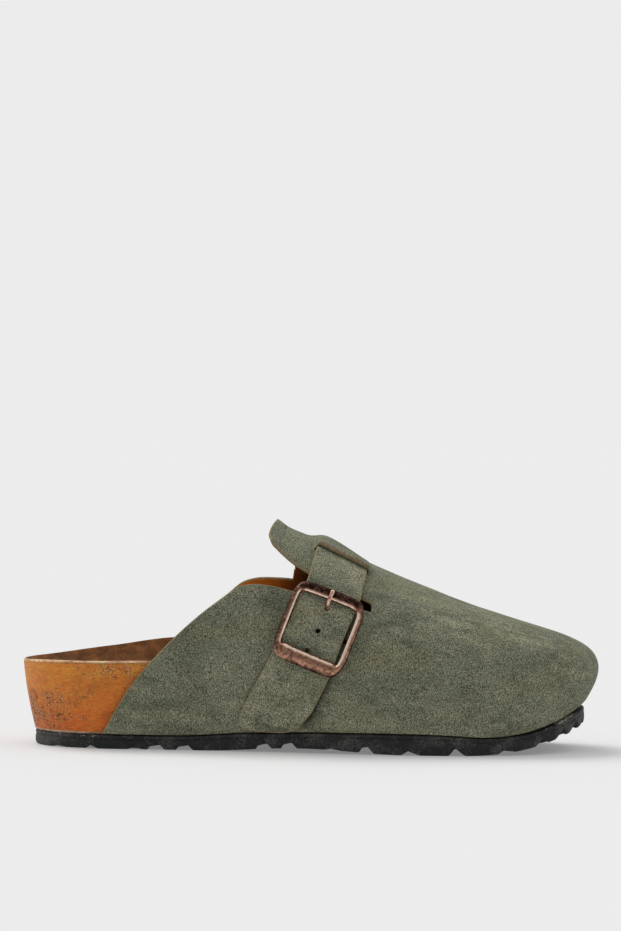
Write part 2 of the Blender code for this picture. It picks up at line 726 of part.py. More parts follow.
def build_frame():
    path, normals, wides = [], [], []
    for across, along in frame_line():
        reach = min(abs(along) / FRAME_HALF_LENGTH, 1.0)
        lift = SIDE_BAR_LIFT + reach**3 * (FRAME_LIFT - SIDE_BAR_LIFT)
        point, normal = on_buckle(across, along, lift)
        path.append(point)
        normals.append(normal)
        end_bar = TOP_BAR if along > 0 else LOW_BAR
        end = ease(min(max((reach - END_BAR_START) / END_BAR_BLEND, 0.0), 1.0))
        wides.append(0.5 * (SIDE_BAR + end * (end_bar - SIDE_BAR)))
    thicks = [0.5 * FRAME_THICKNESS] * len(path)
    frame = sweep("buckle_frame", path, normals, wides, thicks, "copper", closed=True)
    bar_path = []
    for share in (-1.0, -0.94, -0.88, -0.5, 0.0, 0.5, 0.88, 0.94, 1.0):
        rise = max(0.0, (abs(share) - 0.88) / 0.12)
        lift = CENTRE_BAR_LIFT + rise * (SIDE_BAR_LIFT - CENTRE_BAR_LIFT)
        bar_path.append(on_buckle(share * FRAME_HALF_WIDTH, 0.0, lift)[0])
    radii = [CENTRE_BAR_RADIUS] * len(bar_path)
    uphill = on_buckle(0.0, 4.0, CENTRE_BAR_LIFT)[0] - on_buckle(0.0, -4.0, CENTRE_BAR_LIFT)[0]
    bar = sweep("centre_bar", bar_path, [uphill] * len(bar_path), radii, radii, "copper")
    boolean(frame, bar, "UNION")
    return frame


def build_prong():
    places = [on_buckle(0.0, along, lift) for along, lift in zip(PRONG["along"], PRONG["lift"])]
    radii = [PRONG_RADIUS] * (len(places) - 1) + [0.7 * PRONG_RADIUS]
    across = np.cross(places[-1][0] - places[0][0], places[0][1])
    path = [point for point, _ in places]
    return sweep("buckle_prong", path, [across] * len(path), radii, radii, "copper")


def stand_on_origin(pieces):
    """Moves the pieces so that the middle of their common box's base lies on the origin."""
    corners = np.array([v.co for piece in pieces if not piece.hide_render for v in piece.data.vertices])
    low, high = corners.min(axis=0), corners.max(axis=0)
    shift = np.array([-(low[0] + high[0]) / 2, -(low[1] + high[1]) / 2, -low[2]])
    for piece in pieces:
        piece.location = shift


def main():
    for leftover in list(bpy.data.objects):
        bpy.data.objects.remove(leftover, do_unlink=True)
    build_outsole()
    build_cork()
    build_lining()
    build_upper()
    build_strap()
    build_frame()
    build_prong()
    stand_on_origin(list(bpy.data.objects))


main()
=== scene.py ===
"""Looks of a cork sole slipper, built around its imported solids.

The file is laid out as an add-on, with one operator for each piece and one for the stage.

Sizes on the last are in millimetres: X runs from the heel rim to the toe, -Y is the outer side of the foot,
and Z is the height above the floor. TO_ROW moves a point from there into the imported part's frame.
"""

import math

import bmesh
import bpy
import numpy as np
from bpy.props import FloatProperty, FloatVectorProperty, PointerProperty
from bpy.types import Operator, Panel, PropertyGroup
from mathutils import Matrix, Vector, noise


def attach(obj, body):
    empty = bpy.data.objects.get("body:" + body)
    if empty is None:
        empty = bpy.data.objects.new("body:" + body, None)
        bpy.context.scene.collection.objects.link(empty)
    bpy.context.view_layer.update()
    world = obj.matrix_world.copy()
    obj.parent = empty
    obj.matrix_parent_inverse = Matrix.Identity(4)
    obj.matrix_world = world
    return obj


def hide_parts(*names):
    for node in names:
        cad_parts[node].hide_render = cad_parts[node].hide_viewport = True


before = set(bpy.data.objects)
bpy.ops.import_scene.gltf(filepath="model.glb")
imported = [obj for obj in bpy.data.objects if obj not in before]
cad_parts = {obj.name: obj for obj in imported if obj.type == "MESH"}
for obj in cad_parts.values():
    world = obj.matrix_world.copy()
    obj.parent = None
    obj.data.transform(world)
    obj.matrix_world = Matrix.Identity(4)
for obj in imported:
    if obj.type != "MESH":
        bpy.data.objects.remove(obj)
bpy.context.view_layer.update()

bl_info = {
    "name": "Cork Sole Slipper",
    "version": (1, 0, 0),
    "blender": (4, 5, 0),
    "location": "3D View > Sidebar > Slipper",
    "description": "Builds a cork sole slipper and a plain studio around its packed solids",
    "category": "Object",
}

MM = 0.001
TINY = 1e-9
TO_ROW = np.array([-136.4514, 1.98, 0.0])

# Sizes of the last
FEATHER_HEEL_X, FEATHER_TOE_X = 6.3, 262.0
HALF_BALL_WIDTH = 46.5
INSTEP_HEIGHT = 97.0
HEEL_RIM_HEIGHT = 40.0
SOLE_THICKNESS = 6.5
TOE_SPRING, SPRING_START_X, SPRING_POWER = 13.8, 205.0, 2.45
ARCH_RISE, ARCH_REAR_X, ARCH_FRONT_X = 2.0, 84.0, 182.0
GAP = 0.35
UPPER_GAP = 0.6
HEEL_CAP_X, HEEL_CAP_POWER = 40.0, 2.15
TOE_CAP_X, TOE_CAP_POWER = 202.0, 2.3
HEEL_POLE_X, TOE_POLE_X = 42.0, 215.0
SIDES = {"outer": -1.0, "inner": 1.0}
RIB_STEPS = 161
PROBE = 2.0  # how far round a point the wall is felt for its normal
WELDS_PER_MM = 2000
# Finishes of a wall of leather, in the order of its materials
SKIN, INSIDE, CUT_EDGE, LIP_EDGE = range(4)


def table(columns, *rows):
    """A short table as a dict of named columns."""
    return {name: np.array(values, float) for name, values in zip(columns.split(), zip(*rows))}


# How far the outsole's top edge rises above that thickness along the shoe
SOLE_RISE = table(
    "x rise",
    (6.3, 0.4),
    (40.0, 0.0),
    (78.0, 0.0),
    (100.0, 1.0),
    (125.0, 0.6),
    (150.0, 1.4),
    (170.0, 2.7),
    (200.0, 2.4),
    (220.0, 1.0),
    (240.0, 0.2),
    (262.0, 0.0),
)

# Plan of the feather line: half width as a share of the ball's, and drift of the middle towards +Y
PLAN = table(
    "x half_width drift",
    (6.3, 0.630, 0.0),
    (40.0, 0.655, 0.0),
    (80.0, 0.690, -0.6),
    (115.0, 0.765, -1.8),
    (150.0, 0.885, -2.6),
    (180.0, 0.975, -2.2),
    (202.0, 1.000, -1.0),
    (225.0, 0.990, 1.2),
    (262.0, 0.930, 5.0),
)

# Sections of the last: ridge height as a share of the instep's, how far the ridge lies towards +Y,
# how full the side and the top are, and how far the side leans out
SECTIONS = table(
    "x ridge ridge_y side_full top_full lean",
    (6.3, 1.00, 0.0, 0.60, 1.10, 15.0),
    (50.0, 1.04, 1.0, 0.60, 1.00, 13.0),
    (100.0, 1.110, 4.0, 0.58, 0.80, 9.0),
    (116.3, 1.078, 4.9, 0.58, 0.77, 8.1),
    (121.0, 1.047, 5.1, 0.58, 0.76, 8.0),
    (125.6, 1.027, 5.2, 0.58, 0.76, 8.0),
    (130.0, 1.012, 5.3, 0.58, 0.76, 8.0),
    (137.0, 0.988, 5.5, 0.58, 0.76, 8.0),
    (168.0, 0.845, 5.5, 0.58, 0.78, 7.5),
    (191.0, 0.752, 5.0, 0.58, 0.82, 7.5),
    (215.0, 0.662, 4.0, 0.60, 0.92, 8.5),
    (262.0, 0.535, 3.0, 0.66, 1.12, 18.5),
)

# Footbed: rim height on both sides as a share of the heel rim's, and height of the foot's seat
FOOTBED = table(
    "x outer_rim inner_rim seat",
    (0.0, 0.965, 0.965, 29.0),
    (14.0, 0.990, 0.990, 28.6),
    (40.0, 1.000, 1.088, 28.0),
    (70.0, 1.000, 1.200, 30.0),
    (100.0, 0.900, 1.200, 31.0),
    (135.0, 0.725, 0.950, 28.0),
    (170.0, 0.625, 0.700, 21.5),
    (205.0, 0.600, 0.625, 19.5),
    (218.0, 0.625, 0.650, 21.5),
    (240.0, 0.725, 0.725, 22.5),
    (262.0, 0.925, 0.925, 31.0),
)
CUP_POWER = 2.6

# Top edge of the side flaps, from the rear end of the upper forward to the end of the slit
FLAP_EDGE = table(
    "x outer inner",
    (40.5, 8.4, 8.4),
    (51.4, 27.2, 26.4),
    (67.1, 46.0, 44.6),
    (81.5, 59.8, 58.3),
    (96.6, 71.2, 70.0),
    (103.0, 75.4, 75.2),
    (108.5, 76.4, 77.0),
    (118.5, 75.4, 77.4),
    (126.6, 73.4, 76.8),
    (164.4, 63.6, 66.0),
)

# Lower edge of the instep tab, from its rounded end forward to the end of the slit
TAB_EDGE = table(
    "x outer inner",
    (115.8, 98.6, 101.0),
    (117.0, 95.6, 98.6),
    (119.5, 92.8, 95.0),
    (123.5, 89.3, 90.0),
    (128.4, 85.6, 84.0),
    (133.9, 82.3, 80.0),
    (150.0, 75.2, 72.0),
    (164.4, 67.6, 66.0),
)
UPPER_REAR_X = 40.5
TAB_REAR_X, TAB_FRONT_X, TAB_RAKE = 115.8, 136.0, 2.75
RAKE_START, RAKE_POWER = {"outer": 0.0, "inner": 0.72}, 1.7  # the tab's rear edge leans forward, more inside
SLIT_END_X = {"outer": 161.8, "inner": 126.6}
SLIT_ROUND, SLIT_POWER = {"outer": 2.4, "inner": 1.2}, 4
SLOT_REAR, SLOT_FRONT = (136.2, 91.8), (162.4, 79.6)
LIP_RISE, LIP_RAMP_REAR, LIP_RAMP_FRONT = 5.2, 0.07, 0.075
LIP_TAPER = 0.22  # the lip sinks by this share towards the slot's front end
LIP_START, LIP_SHADED = 0.3, 0.6 * LIP_RISE  # heights from which its edge is skin, and from which it has painted shade
CROWN_RISE, CROWN_SKEW = 5.1, 0.65  # the lip's bulge, highest towards the slot's rear end
CROWN_START, CROWN_RUN, CROWN_FADE = 0.2, 1.15, 0.35  # shares of the slot's length
# Past its ends the slot's line runs on between the tab's edge and the ridge, at a share of the way up
SLOT_FADE, SLOT_SHARE, SLOT_LEAST = 25.0, 0.45, 0.1
LOW_ROWS, MIDDLE_ROWS, TOP_ROWS = 46, 10, 18
UPPER_STEP, STATION_GAP = 1.35, 0.12
# Runs of closer stations: the tab's end, the ends of both slits, and the two ends of the slot
CLOSE_RUNS = ((TAB_REAR_X, 120.0, 12), (SLIT_END_X["inner"], 129.6, 8), (SLIT_END_X["outer"], 164.2, 10))
SLOT_RUNS = (8, 10)
TOE_FAN = 44

# Wrinkles in the leather: ends in the side view, how far the line sags between them, width and depth
WRINKLES = table(
    "side x1 height1 x2 height2 sag width depth",
    (-1, 170.0, 76.0, 208.0, 61.0, 1.2, 2.4, 0.42),
    (-1, 176.0, 71.0, 214.0, 56.5, 1.5, 2.0, 0.34),
    (-1, 186.0, 62.5, 222.0, 50.5, 1.0, 2.6, 0.30),
    (-1, 212.0, 60.5, 250.0, 52.0, -0.8, 2.0, 0.36),
    (-1, 219.0, 55.5, 258.0, 46.5, -1.0, 2.4, 0.34),
    (-1, 238.0, 45.0, 262.0, 39.0, 0.8, 2.2, 0.26),
    (-1, 168.5, 63.5, 182.0, 58.5, 0.6, 3.2, 0.45),
    (1, 168.0, 74.0, 206.0, 60.0, 1.4, 2.4, 0.40),
    (1, 180.0, 66.0, 216.0, 53.0, 1.0, 2.2, 0.34),
    (1, 214.0, 58.0, 252.0, 48.5, -0.8, 2.2, 0.34),
    (1, 142.0, 70.0, 160.0, 62.0, 1.2, 3.0, 0.40),
)

WRINKLE_STEPS, WRINKLE_REACH = 60, 40.0
WRINKLE_TAPER, WRINKLE_RIDGE = 0.7, 1.3  # how soon it fades at its ends, and how high its two ridges are
RIDGE_WEAR, BESIDE_WEAR, BESIDE_WIDTH = 2.2, 0.5, 6
DENTS = ((0.35, 31.0), (0.12, 11.0))  # soft dents: depth and size
# Pairs like these say where something starts and how far on it is full; a negative length runs back or down
# Paler high up towards the front of the upper
PALER_HEIGHT, PALER_X, PALER_HIGH = (45.0, 45.0), (120.0, 60.0), 0.1
# Painted light low on the upper, standing in for light thrown up by the floor
BOUNCE_HEIGHT, BOUNCE_LIGHT = (36.0, -22.0), 0.4
DENT_FOOT = (0.0, 12.0)  # the leather is smooth at the feather line
# Painted shade inside the toe box: the lining is made darker towards the toe
TOE_SHADE_X = (108.0, 32.0)  # the lining darkens towards the toe
# Painted shade on the upper beside the strap's edges: strength, width, and the heights where it starts and
# ends
SHADE_BESIDE_STRAP = {
    "front": (0.95, 2.2, (10.0, 6.0), (70.0, -6.0)),
    "rear": (0.35, 1.5, (18.0, 8.0), (46.0, -6.0)),
}

# Strap: its two edges in the side view and how far its underside lies off the last
STRAP = table(
    "rear_x rear_height front_x front_height lift",
    (138.4, 92.0, 160.2, 81.3, 2.90),
    (138.0, 91.2, 160.0, 79.4, 3.00),
    (136.0, 83.3, 158.6, 73.4, 3.60),
    (134.7, 77.6, 157.8, 68.2, 4.60),
    (129.0, 63.2, 151.9, 53.6, 5.60),
    (118.8, 44.9, 144.6, 34.5, 4.00),
    (111.3, 31.0, 138.6, 21.9, 3.20),
    (102.0, 13.2, 129.3, 4.0, 3.00),
)
# Lower end of the strap: how much is trimmed off its length, from the rear edge to the front edge
STRAP_END = table(
    "x trim",
    (0.00, 5.2),
    (0.06, 1.6),
    (0.20, 0.2),
    (0.40, 1.4),
    (0.60, 3.0),
    (0.78, 5.2),
    (0.92, 9.6),
    (1.00, 17.6),
)
STRAP_ROWS, STRAP_COLUMNS = 110, 34
STRAP_CROWDING = 0.4  # how far its columns crowd towards the two edges
STRAP_CURL = 2.2  # the lower front edge stands off the upper by this much more
CURL_ACROSS, CURL_ALONG = (0.70, 0.30), (0.55, 0.25)
STRAP_UNEVEN, STRAP_UNEVEN_SIZE = 0.10, 13.0
STRAP_WEAR = 0.75
# Painted shade on the strap along the frame's front bar, where the bar stands over it
BAR_SHADE, BAR_SHADE_WIDTH, BAR_SHADE_END = 0.85, 1.1, (12.5, -2.0)
# Holes in the strap, measured from the buckle's middle across and along; the prong comes up through the first
STRAP_HOLES = ((0.0, 9.3), (0.0, -0.5), (-1.35, -9.9))
PRONG_HOLE_RADIUS = 1.25
PUNCH_LIFTS, PUNCH_SIDES = (0.5, 12.0), 20

# Buckle: middle and tilt in the side view, sizes along the middle of its bars
BUCKLE_X, BUCKLE_HEIGHT, BUCKLE_TILT = 140.2, 55.6, math.radians(21.4)
FRAME_HALF_WIDTH, FRAME_HALF_LENGTH = 15.7, 13.95
FRAME_SQUARE = 7.0  # how square the frame is: its sides bow out and its corners are round
FRAME_THICKNESS, FRAME_SECTION = 2.6, 2.05
END_BAR_START, END_BAR_BLEND = 0.84, 0.16  # where along its half length the frame widens into its end bars
SIDE_BAR, TOP_BAR, LOW_BAR = 3.2, 5.6, 7.2
FRAME_LIFT, SIDE_BAR_LIFT = 9.4, 7.9
CENTRE_BAR_RADIUS, CENTRE_BAR_LIFT, CENTRE_BAR_END, CENTRE_BAR_STEPS = 1.1, 4.0, (0.86, 0.14), 41
FRAME_STEPS, BAR_SIDES = 160, 28
PRONG = table(
    "x lift",
    (1.7, 4.0),
    (5.5, 4.0),
    (8.5, 4.3),
    (9.2, 6.3),
    (9.7, 8.8),
    (10.8, 11.3),
    (13.2, 12.3),
    (15.1, 12.1),
)
PRONG_RADIUS, PRONG_STEPS = 1.0, 60
PRONG_TIP, PRONG_BLUNT = 0.9, 0.02
# The prong is rubbed bright, with painted light on one side and painted shade on the other
PRONG_RUB, PRONG_SIDE_LIGHT = 0.82, 0.25

# Where the patina of the frame is rubbed off, and where highlights, reflections and shade are painted on it:
# angles round a bar's section, places across and along the frame
FRONT_BAR, CORNERS = (-4.0, 14.0), (0.72, 0.18)
INNER_EDGE_ANGLE, INNER_EDGE_WIDTH, INNER_EDGE_FRONT = 0.76 * math.pi, 0.45, 0.7
OUTER_EDGE_WIDTH = 0.55
# A painted highlight on the outer edge round the frame's lower rear corner
GLINT_ACROSS, GLINT_ALONG, GLINT_SPREAD = -13.5, -14.0, 30.0
# Faces of the low, front, rear and top bars: painted reflections, the top one darker. Inner edges: rubbed
# plating with a painted highlight. Outer edges: painted shade
LOW_FACE_REFLECTION, FRONT_FACE_REFLECTION, REAR_FACE_REFLECTION, TOP_FACE_REFLECTION = 0.36, 0.34, 0.18, -0.08
FRAME_RUB, INNER_EDGE_RUB_AND_HIGHLIGHT, OUTER_EDGE_SHADE, GLINT_HIGHLIGHT = 0.20, 1.25, -0.40, 1.1
CORNER_PATINA = 0.85
RUB_AND_LIGHT_LEAST, RUB_AND_LIGHT_MOST = -0.1, 1.3

# Grooves across the tread, with the shallow scallops between the deep ones, and notches round the toe
GROOVES = table(
    "x depth mouth",
    (18.2, 0.7, 7.0),
    (34.0, 1.5, 6.0),
    (54.2, 1.2, 7.0),
    (63.8, 5.2, 8.0),
    (77.1, 5.2, 8.0),
    (114.0, 5.4, 7.5),
    (125.7, 5.4, 7.5),
    (145.9, 0.7, 8.0),
    (161.5, 4.6, 7.0),
    (181.5, 2.0, 9.0),
    (203.2, 3.6, 8.0),
)
TOE_NOTCHES = table(
    "x depth mouth",
    (227.3, 3.0, 8.0),
    (243.6, 4.0, 8.5),
    (252.1, 4.4, 8.5),
    (257.6, 4.4, 8.5),
    (261.2, 3.8, 7.5),
)
# The grooves bow forward in the middle of the sole, and not at its two ends
GROOVE_BOW, BOW_POWER, BOW_FADE = 7.0, 8, 25.0
BOW_HEEL_GAP, BOW_TOE_GAP = 6.0, 4.0
NOTCH_STEEP, NOTCH_SLOPE, NOTCH_POWER = 0.38, 0.62, 1.15
# Scallops and toe notches are cut into the edge only: shares of the way out from the middle
SCALLOP_DEPTH, SCALLOP_EDGE, TOE_NOTCH_EDGE = 1.2, (0.8, 0.2), (0.45, 0.25)
SOLE_PROUD_HEEL, SOLE_PROUD_UPPER, SOLE_PROUD_TOE = -0.2, 2.7, 4.0
SOLE_PROUD_FADE = 12.0
SOLE_TOE_EXTRA = 1.4
# Side of the outsole from its top edge down: drop below the top, and how far it lies inside the outline
SOLE_SIDE = table(
    "drop inset",
    (0.00, 0.70),
    (0.20, 0.22),
    (0.65, 0.00),
    (1.50, 0.00),
    (1.80, 0.40),
    (2.15, 0.40),
    (2.45, 0.00),
)
# The rest of the side down to the tread: share of what is left above the ground, and inset
SOLE_FOOT = table(
    "share inset",
    (0.70, -0.15),
    (0.42, -0.10),
    (0.20, 0.15),
    (0.07, 0.60),
    (0.00, 1.40),
)
SOLE_TOP_SHARES, TREAD_SHARES = (0.0, 0.5, 0.92), np.linspace(0.965, 0.0, 22)
# Crumbs of glue under the sole's top edge, round the toe and round the heel
CRUMB_DROP, CRUMB_TOE_X, CRUMB_HEEL_X, CRUMB_HEEL = (-2.2, 0.8), (238.0, 8.0), (76.0, -10.0), 0.72
CRUMB_PATCH, CRUMB_EVEN, CRUMB_UNEVEN = 7.0, 0.9, 0.5
RING_POINTS, RING_STEPS = 400, 4000  # stations along one side of a ring, and steps that they are spaced by
CORK_ROWS = 30
CORK_BASE_SHARES, CORK_FOOT_SHARES = (0.0, 0.5, 0.97), (0.004, 0.022)
CORK_TOP_SHARES = (0.985, 0.93, 0.82, 0.66, 0.42, 0.0)
# Cork that shows: height over the feather line, height over the lowest rim, and distance from the heel
CORK_FOOT, CORK_OVER_RIM, CORK_RIM_FADE, CORK_BARE_X = (0.3, 1.5), 14, -3.0, (125.0, -15.0)
# Broken cork low on the heel, and cracked cork along the rim
ROUGH_X, ROUGH_HEIGHT = (34.0, -18.0), (29.0, -7.0)
CRACKLE_X, CRACKLE_HEIGHT = (24.0, 14.0), (30.0, 6.0)
# Pits: size and share of two noises, where they start, and how many lie outside the broken cork
PIT_COARSE, PIT_COARSE_SHARE, PIT_FINE, PIT_FINE_SHARE, PIT_FINE_SHIFT = 3.4, 0.7, 1.3, 0.5, 50.0
PIT_START, PIT_FADE, PIT_ELSEWHERE, PIT_STEEPNESS = 0.20, 0.35, 0.15, 0.75
CORK_UNEVEN, CORK_UNEVEN_SIZE = 0.07, 5.5
LINING_SHARES = 1.0 - np.linspace(0.0, 1.0, 30) ** 1.25
SUEDE_UNEVEN, SUEDE_UNEVEN_SIZE, SUEDE_ROUND = 0.15, 17.0, 0.25
GLUE_DROP, GLUE_HEIGHT = 0.32, 0.55  # the glue bead fills the gap under the cork and shows this far up it
EDGE_PROFILE = ((0.10, 0.55), (0.30, 0.95), (0.50, 1.00), (0.70, 0.95), (0.90, 0.55))

# Camera of the photograph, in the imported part's frame
IMAGE_WIDTH, IMAGE_HEIGHT = 621, 931
CAMERA_DISTANCE = 1.8
CAMERA_ELEVATION, CAMERA_ROLL = math.radians(3.0), math.radians(0.7)
CAMERA_AIM = Vector((0.0, 0.0, 0.0535))
AIM_PIXEL = (311.7, 633.0)
METRES_PER_PIXEL = 0.4735e-3
SENSOR_WIDTH = 36.0

# Studio: what the floor sends back of the light, its own light and its reach, and where the key light stands
FLOOR_WHITE, FLOOR_GLOW, FLOOR_REACH = (0.609, 0.609, 0.609), 0.2, 60.0
KEY_FROM = Vector((-0.36, 0.44, 0.82))


def linear(code):
    """Linear colour of an sRGB hex value."""
    shares = [int(code[k : k + 2], 16) / 255 for k in (0, 2, 4)]
    return tuple(c / 12.92 if c <= 0.04045 else ((c + 0.055) / 1.055) ** 2.4 for c in shares)


def colour(name, description, code):
    return FloatVectorProperty(
        name=name, description=description, default=linear(code), subtype="COLOR", size=3, min=0.0, max=1.0
    )


def length(name, description, millimetres):
    return FloatProperty(name=name, description=description, default=millimetres * MM, min=0.0, unit="LENGTH")


class SlipperColours(PropertyGroup):
    nubuck_dark: colour("Nubuck, dark", "Upper and strap where the wax is thickest", "686A57")
    nubuck_mid: colour("Nubuck", "Upper and strap", "7B7D69")
    # Also the tone of the painted light low on the upper
    nubuck_pale: colour("Nubuck, rubbed", "Upper and strap where the nap is rubbed pale", "9B997F")
    nubuck_warm: colour("Nubuck, tanned", "Patches where the dye has worn thin", "807B5C")
    cut_edge: colour("Cut edge", "Raw edge of the upper's leather", "968868")
    # Painted shade: the lip's edge faces down over the strap and is made darker and browner
    lip_edge_shade: colour("Lip's edge", "Rubbed edge of the lip over the strap", "8F7C60")
    upper_lining: colour("Upper lining", "Smooth leather inside the upper", "EC8820")
    footbed_suede: colour("Footbed suede", "Suede under the foot", "6E4728")
    suede_edge: colour("Suede edge", "Edge of the suede along the rim", "E2B48C")
    cork: colour("Cork", "Sealed cork granules", "F2882E")
    cork_dark: colour("Cork, dark", "Dark granules and bark", "5E2C0E")
    # Painted highlight along the raised edges of the cork's cracks
    cork_highlight: colour("Cork, pale", "Pale edges of the cracks", "F4C48C")
    glue_crumbs: colour("Glue crumbs", "Crumbs of glue along the sole's top edge", "E6E0D4")
    glue: colour("Glue", "Dried latex glue between cork and outsole", "C9AD90")
    # Painted shade: the dark tone the lining takes deep inside the toe
    lining_shade: colour("Upper lining, deep", "Lining darkened by the foot towards the toe", "140905")
    sole: colour("Outsole", "Moulded sole", "1F1F1F")
    sole_dust: colour("Outsole, dusty", "Dust in the sole's moulded grain", "4D4C4A")
    copper: colour("Copper", "Buckle's plated face", "BC8C74")
    # Also the tone of the painted shade along the buckle's outer edges
    copper_dark: colour("Copper, aged", "Buckle's darkened plating", "26140F")
    # Also the tone of the painted highlights on the buckle's inner edges and one corner
    copper_bright: colour("Copper, rubbed", "Buckle's rubbed edges", "FFE4CE")
    floor: colour("Floor", "Studio floor and background", "ECECEC")


class SlipperSizes(PropertyGroup):
    upper_wall: length("Upper wall", "Thickness of the upper's leather with its lining", 2.0)
    strap_wall: length("Strap wall", "Thickness of the strap", 1.9)
    lining_wall: length("Suede", "Thickness of the footbed's suede", 1.0)
    edge_round: length("Edge round", "How far the upper's cut edge bulges", 0.5)
    strap_round: length("Strap round", "How far the strap's cut edge bulges", 0.55)
    hole_radius: length("Strap hole", "Radius of the strap's spare holes", 1.2)
    nap: length("Nap", "Spacing of the nubuck's speckle, coarser than the real nap", 0.66)
    cork_grain: length("Cork grain", "Size of the cork's granules", 2.4)
    cork_pit: length("Cork pit", "Depth of the pits where granules broke out", 0.7)
    sole_grain: length("Sole grain", "Spacing of the outsole's moulded grain", 0.9)


class SlipperStudio(PropertyGroup):
    sky: FloatProperty(name="Sky", description="Strength of the soft light all round", default=1.046, min=0.0)
    key: FloatProperty(name="Key", description="Strength of the soft key light", default=1.5, min=0.0)
    key_size: FloatProperty(
        name="Key size",
        description="Angle that the key light covers",
        default=math.radians(36),
        subtype="ANGLE",
    )


class SlipperSettings(PropertyGroup):
    colours: PointerProperty(type=SlipperColours)
    sizes: PointerProperty(type=SlipperSizes)
    studio: PointerProperty(type=SlipperStudio)


def in_mm(size):
    return size / MM


def read(rows, column, x, key="x"):
    """Smooth curve through a table's rows, with each row's slope taken from its neighbours."""
    xs, ys = rows[key], rows[column]
    slopes = np.gradient(ys, xs)
    x = np.asarray(x, float)
    i = np.clip(np.searchsorted(xs, x) - 1, 0, len(xs) - 2)
    span = xs[i + 1] - xs[i]
    u = np.clip((x - xs[i]) / span, 0.0, 1.0)
    start = (1 + 2 * u) * (1 - u) ** 2 * ys[i] + u * (1 - u) ** 2 * span * slopes[i]
    return start + u * u * (3 - 2 * u) * ys[i + 1] - u * u * (1 - u) * span * slopes[i + 1]


def ease(share):
    """Smooth step from 0 to 1."""
    share = np.clip(share, 0.0, 1.0)
    return share * share * (3 - 2 * share)


def fade(value, start, length):
    """Smooth step from 0 at the start to 1 this far on; a negative length runs the other way."""
    return ease((value - start) / length)


def toe_share(x):
    """0 up to the ball, 1 at the front end of the feather line."""
    return np.maximum(0.0, (x - SPRING_START_X) / (FEATHER_TOE_X - SPRING_START_X))


def sole_lift(x):
    """How much the sole is lifted: it curls up at the toe and arches a little at the waist."""
    arch = np.clip((x - ARCH_REAR_X) / (ARCH_FRONT_X - ARCH_REAR_X), 0.0, 1.0)
    return TOE_SPRING * toe_share(x) ** SPRING_POWER + ARCH_RISE * np.sin(np.pi * arch) ** 2


def sole_top(x):
    """Height of the outsole's top, which the cork and the upper stand on."""
    return sole_lift(x) + SOLE_THICKNESS + read(SOLE_RISE, "rise", x)


def feather_height(x):
    return sole_top(x) + GAP


def half_width(x):
    """Half width of the feather line, with its two round caps."""
    heel = (HEEL_CAP_X - x) / (HEEL_CAP_X - FEATHER_HEEL_X)
    toe = (x - TOE_CAP_X) / (FEATHER_TOE_X - TOE_CAP_X)
    share = np.clip(np.maximum(heel, toe), 0.0, 1.0)
    power = np.where(heel > toe, HEEL_CAP_POWER, TOE_CAP_POWER)
    return HALF_BALL_WIDTH * read(PLAN, "half_width", x) * (1 - share**power) ** (1 / power)


def ribs(x, side):
    """Control points, as (4, stations, 3), of the ribs that rise from the feather line to the ridge."""
    x = np.atleast_1d(np.asarray(x, float))
    foot = np.stack([x, read(PLAN, "drift", x) + side * half_width(x), feather_height(x)], axis=-1)
    pole = np.clip(x, HEEL_POLE_X, TOE_POLE_X)
    ridge = INSTEP_HEIGHT * read(SECTIONS, "ridge", pole)
    top = np.stack([pole, read(SECTIONS, "ridge_y", pole), ridge], axis=-1)
    flat = (foot - top) * (1.0, 1.0, 0.0)
    reach = np.linalg.norm(flat, axis=1)
    out = flat / reach[:, None]
    up = np.array([0.0, 0.0, 1.0])
    ahead = INSTEP_HEIGHT * read(SECTIONS, "ridge", pole + 1.0)
    slope = np.where(x > TOE_POLE_X, ahead - ridge, 0.0)
    side_height = read(SECTIONS, "side_full", x) * (ridge - foot[:, 2])
    side_handle = foot + out * read(SECTIONS, "lean", x)[:, None] + up * side_height[:, None]
    top_reach = read(SECTIONS, "top_full", x) * reach
    top_handle = top + (out + up * (slope * out[:, 0])[:, None]) * top_reach[:, None]
    return np.stack([foot, side_handle, top_handle, top])


def on_ribs(lines, t):
    """Points of ribs: t is 0 at the feather line and 1 at the ridge, one or several for each rib."""
    t = np.asarray(t, float)
    a, b, c, d = lines if t.ndim == 1 else lines[:, :, None]
    t = t[..., None]
    return a * (1 - t) ** 3 + 3 * b * t * (1 - t) ** 2 + 3 * c * t * t * (1 - t) + d * t**3


def at_height(lines, height):
    """Where each rib reaches this height, as its t."""
    steps = np.linspace(0.0, 1.0, RIB_STEPS)
    count = lines.shape[1]
    heights = on_ribs(lines, np.tile(steps, (count, 1)))[..., 2]
    heights = np.maximum.accumulate(heights, axis=1)
    wanted = np.broadcast_to(height, count)
    return np.array([np.interp(h, row, steps) for h, row in zip(wanted, heights)])


def unit(vectors):
    return vectors / np.linalg.norm(vectors, axis=1)[:, None]


def outer_side(x, height, lift):
    """Points over the outer wall at these places of the side view, lifted off the last, and their normals."""

    def on_last(u, v):
        lines = ribs(u, SIDES["outer"])
        return on_ribs(lines, at_height(lines, v))

    along = on_last(x + PROBE, height) - on_last(x - PROBE, height)
    up = on_last(x, height + PROBE) - on_last(x, height - PROBE)
    normals = unit(np.cross(along, up))
    return on_last(x, height) + np.asarray(lift)[:, None] * normals, normals


def wave(points, size):
    """Smooth noise from -1 to 1 at points in millimetres, with bumps of this size."""
    return np.array([noise.noise(Vector(p / size)) for p in points])


def face_turns(points, quads):
    """Area vectors of quads; a quad with a doubled corner counts as the triangle that it is."""
    a, b, c, d = (points[quads[:, k]] for k in range(4))
    return np.cross(c - a, d - b)


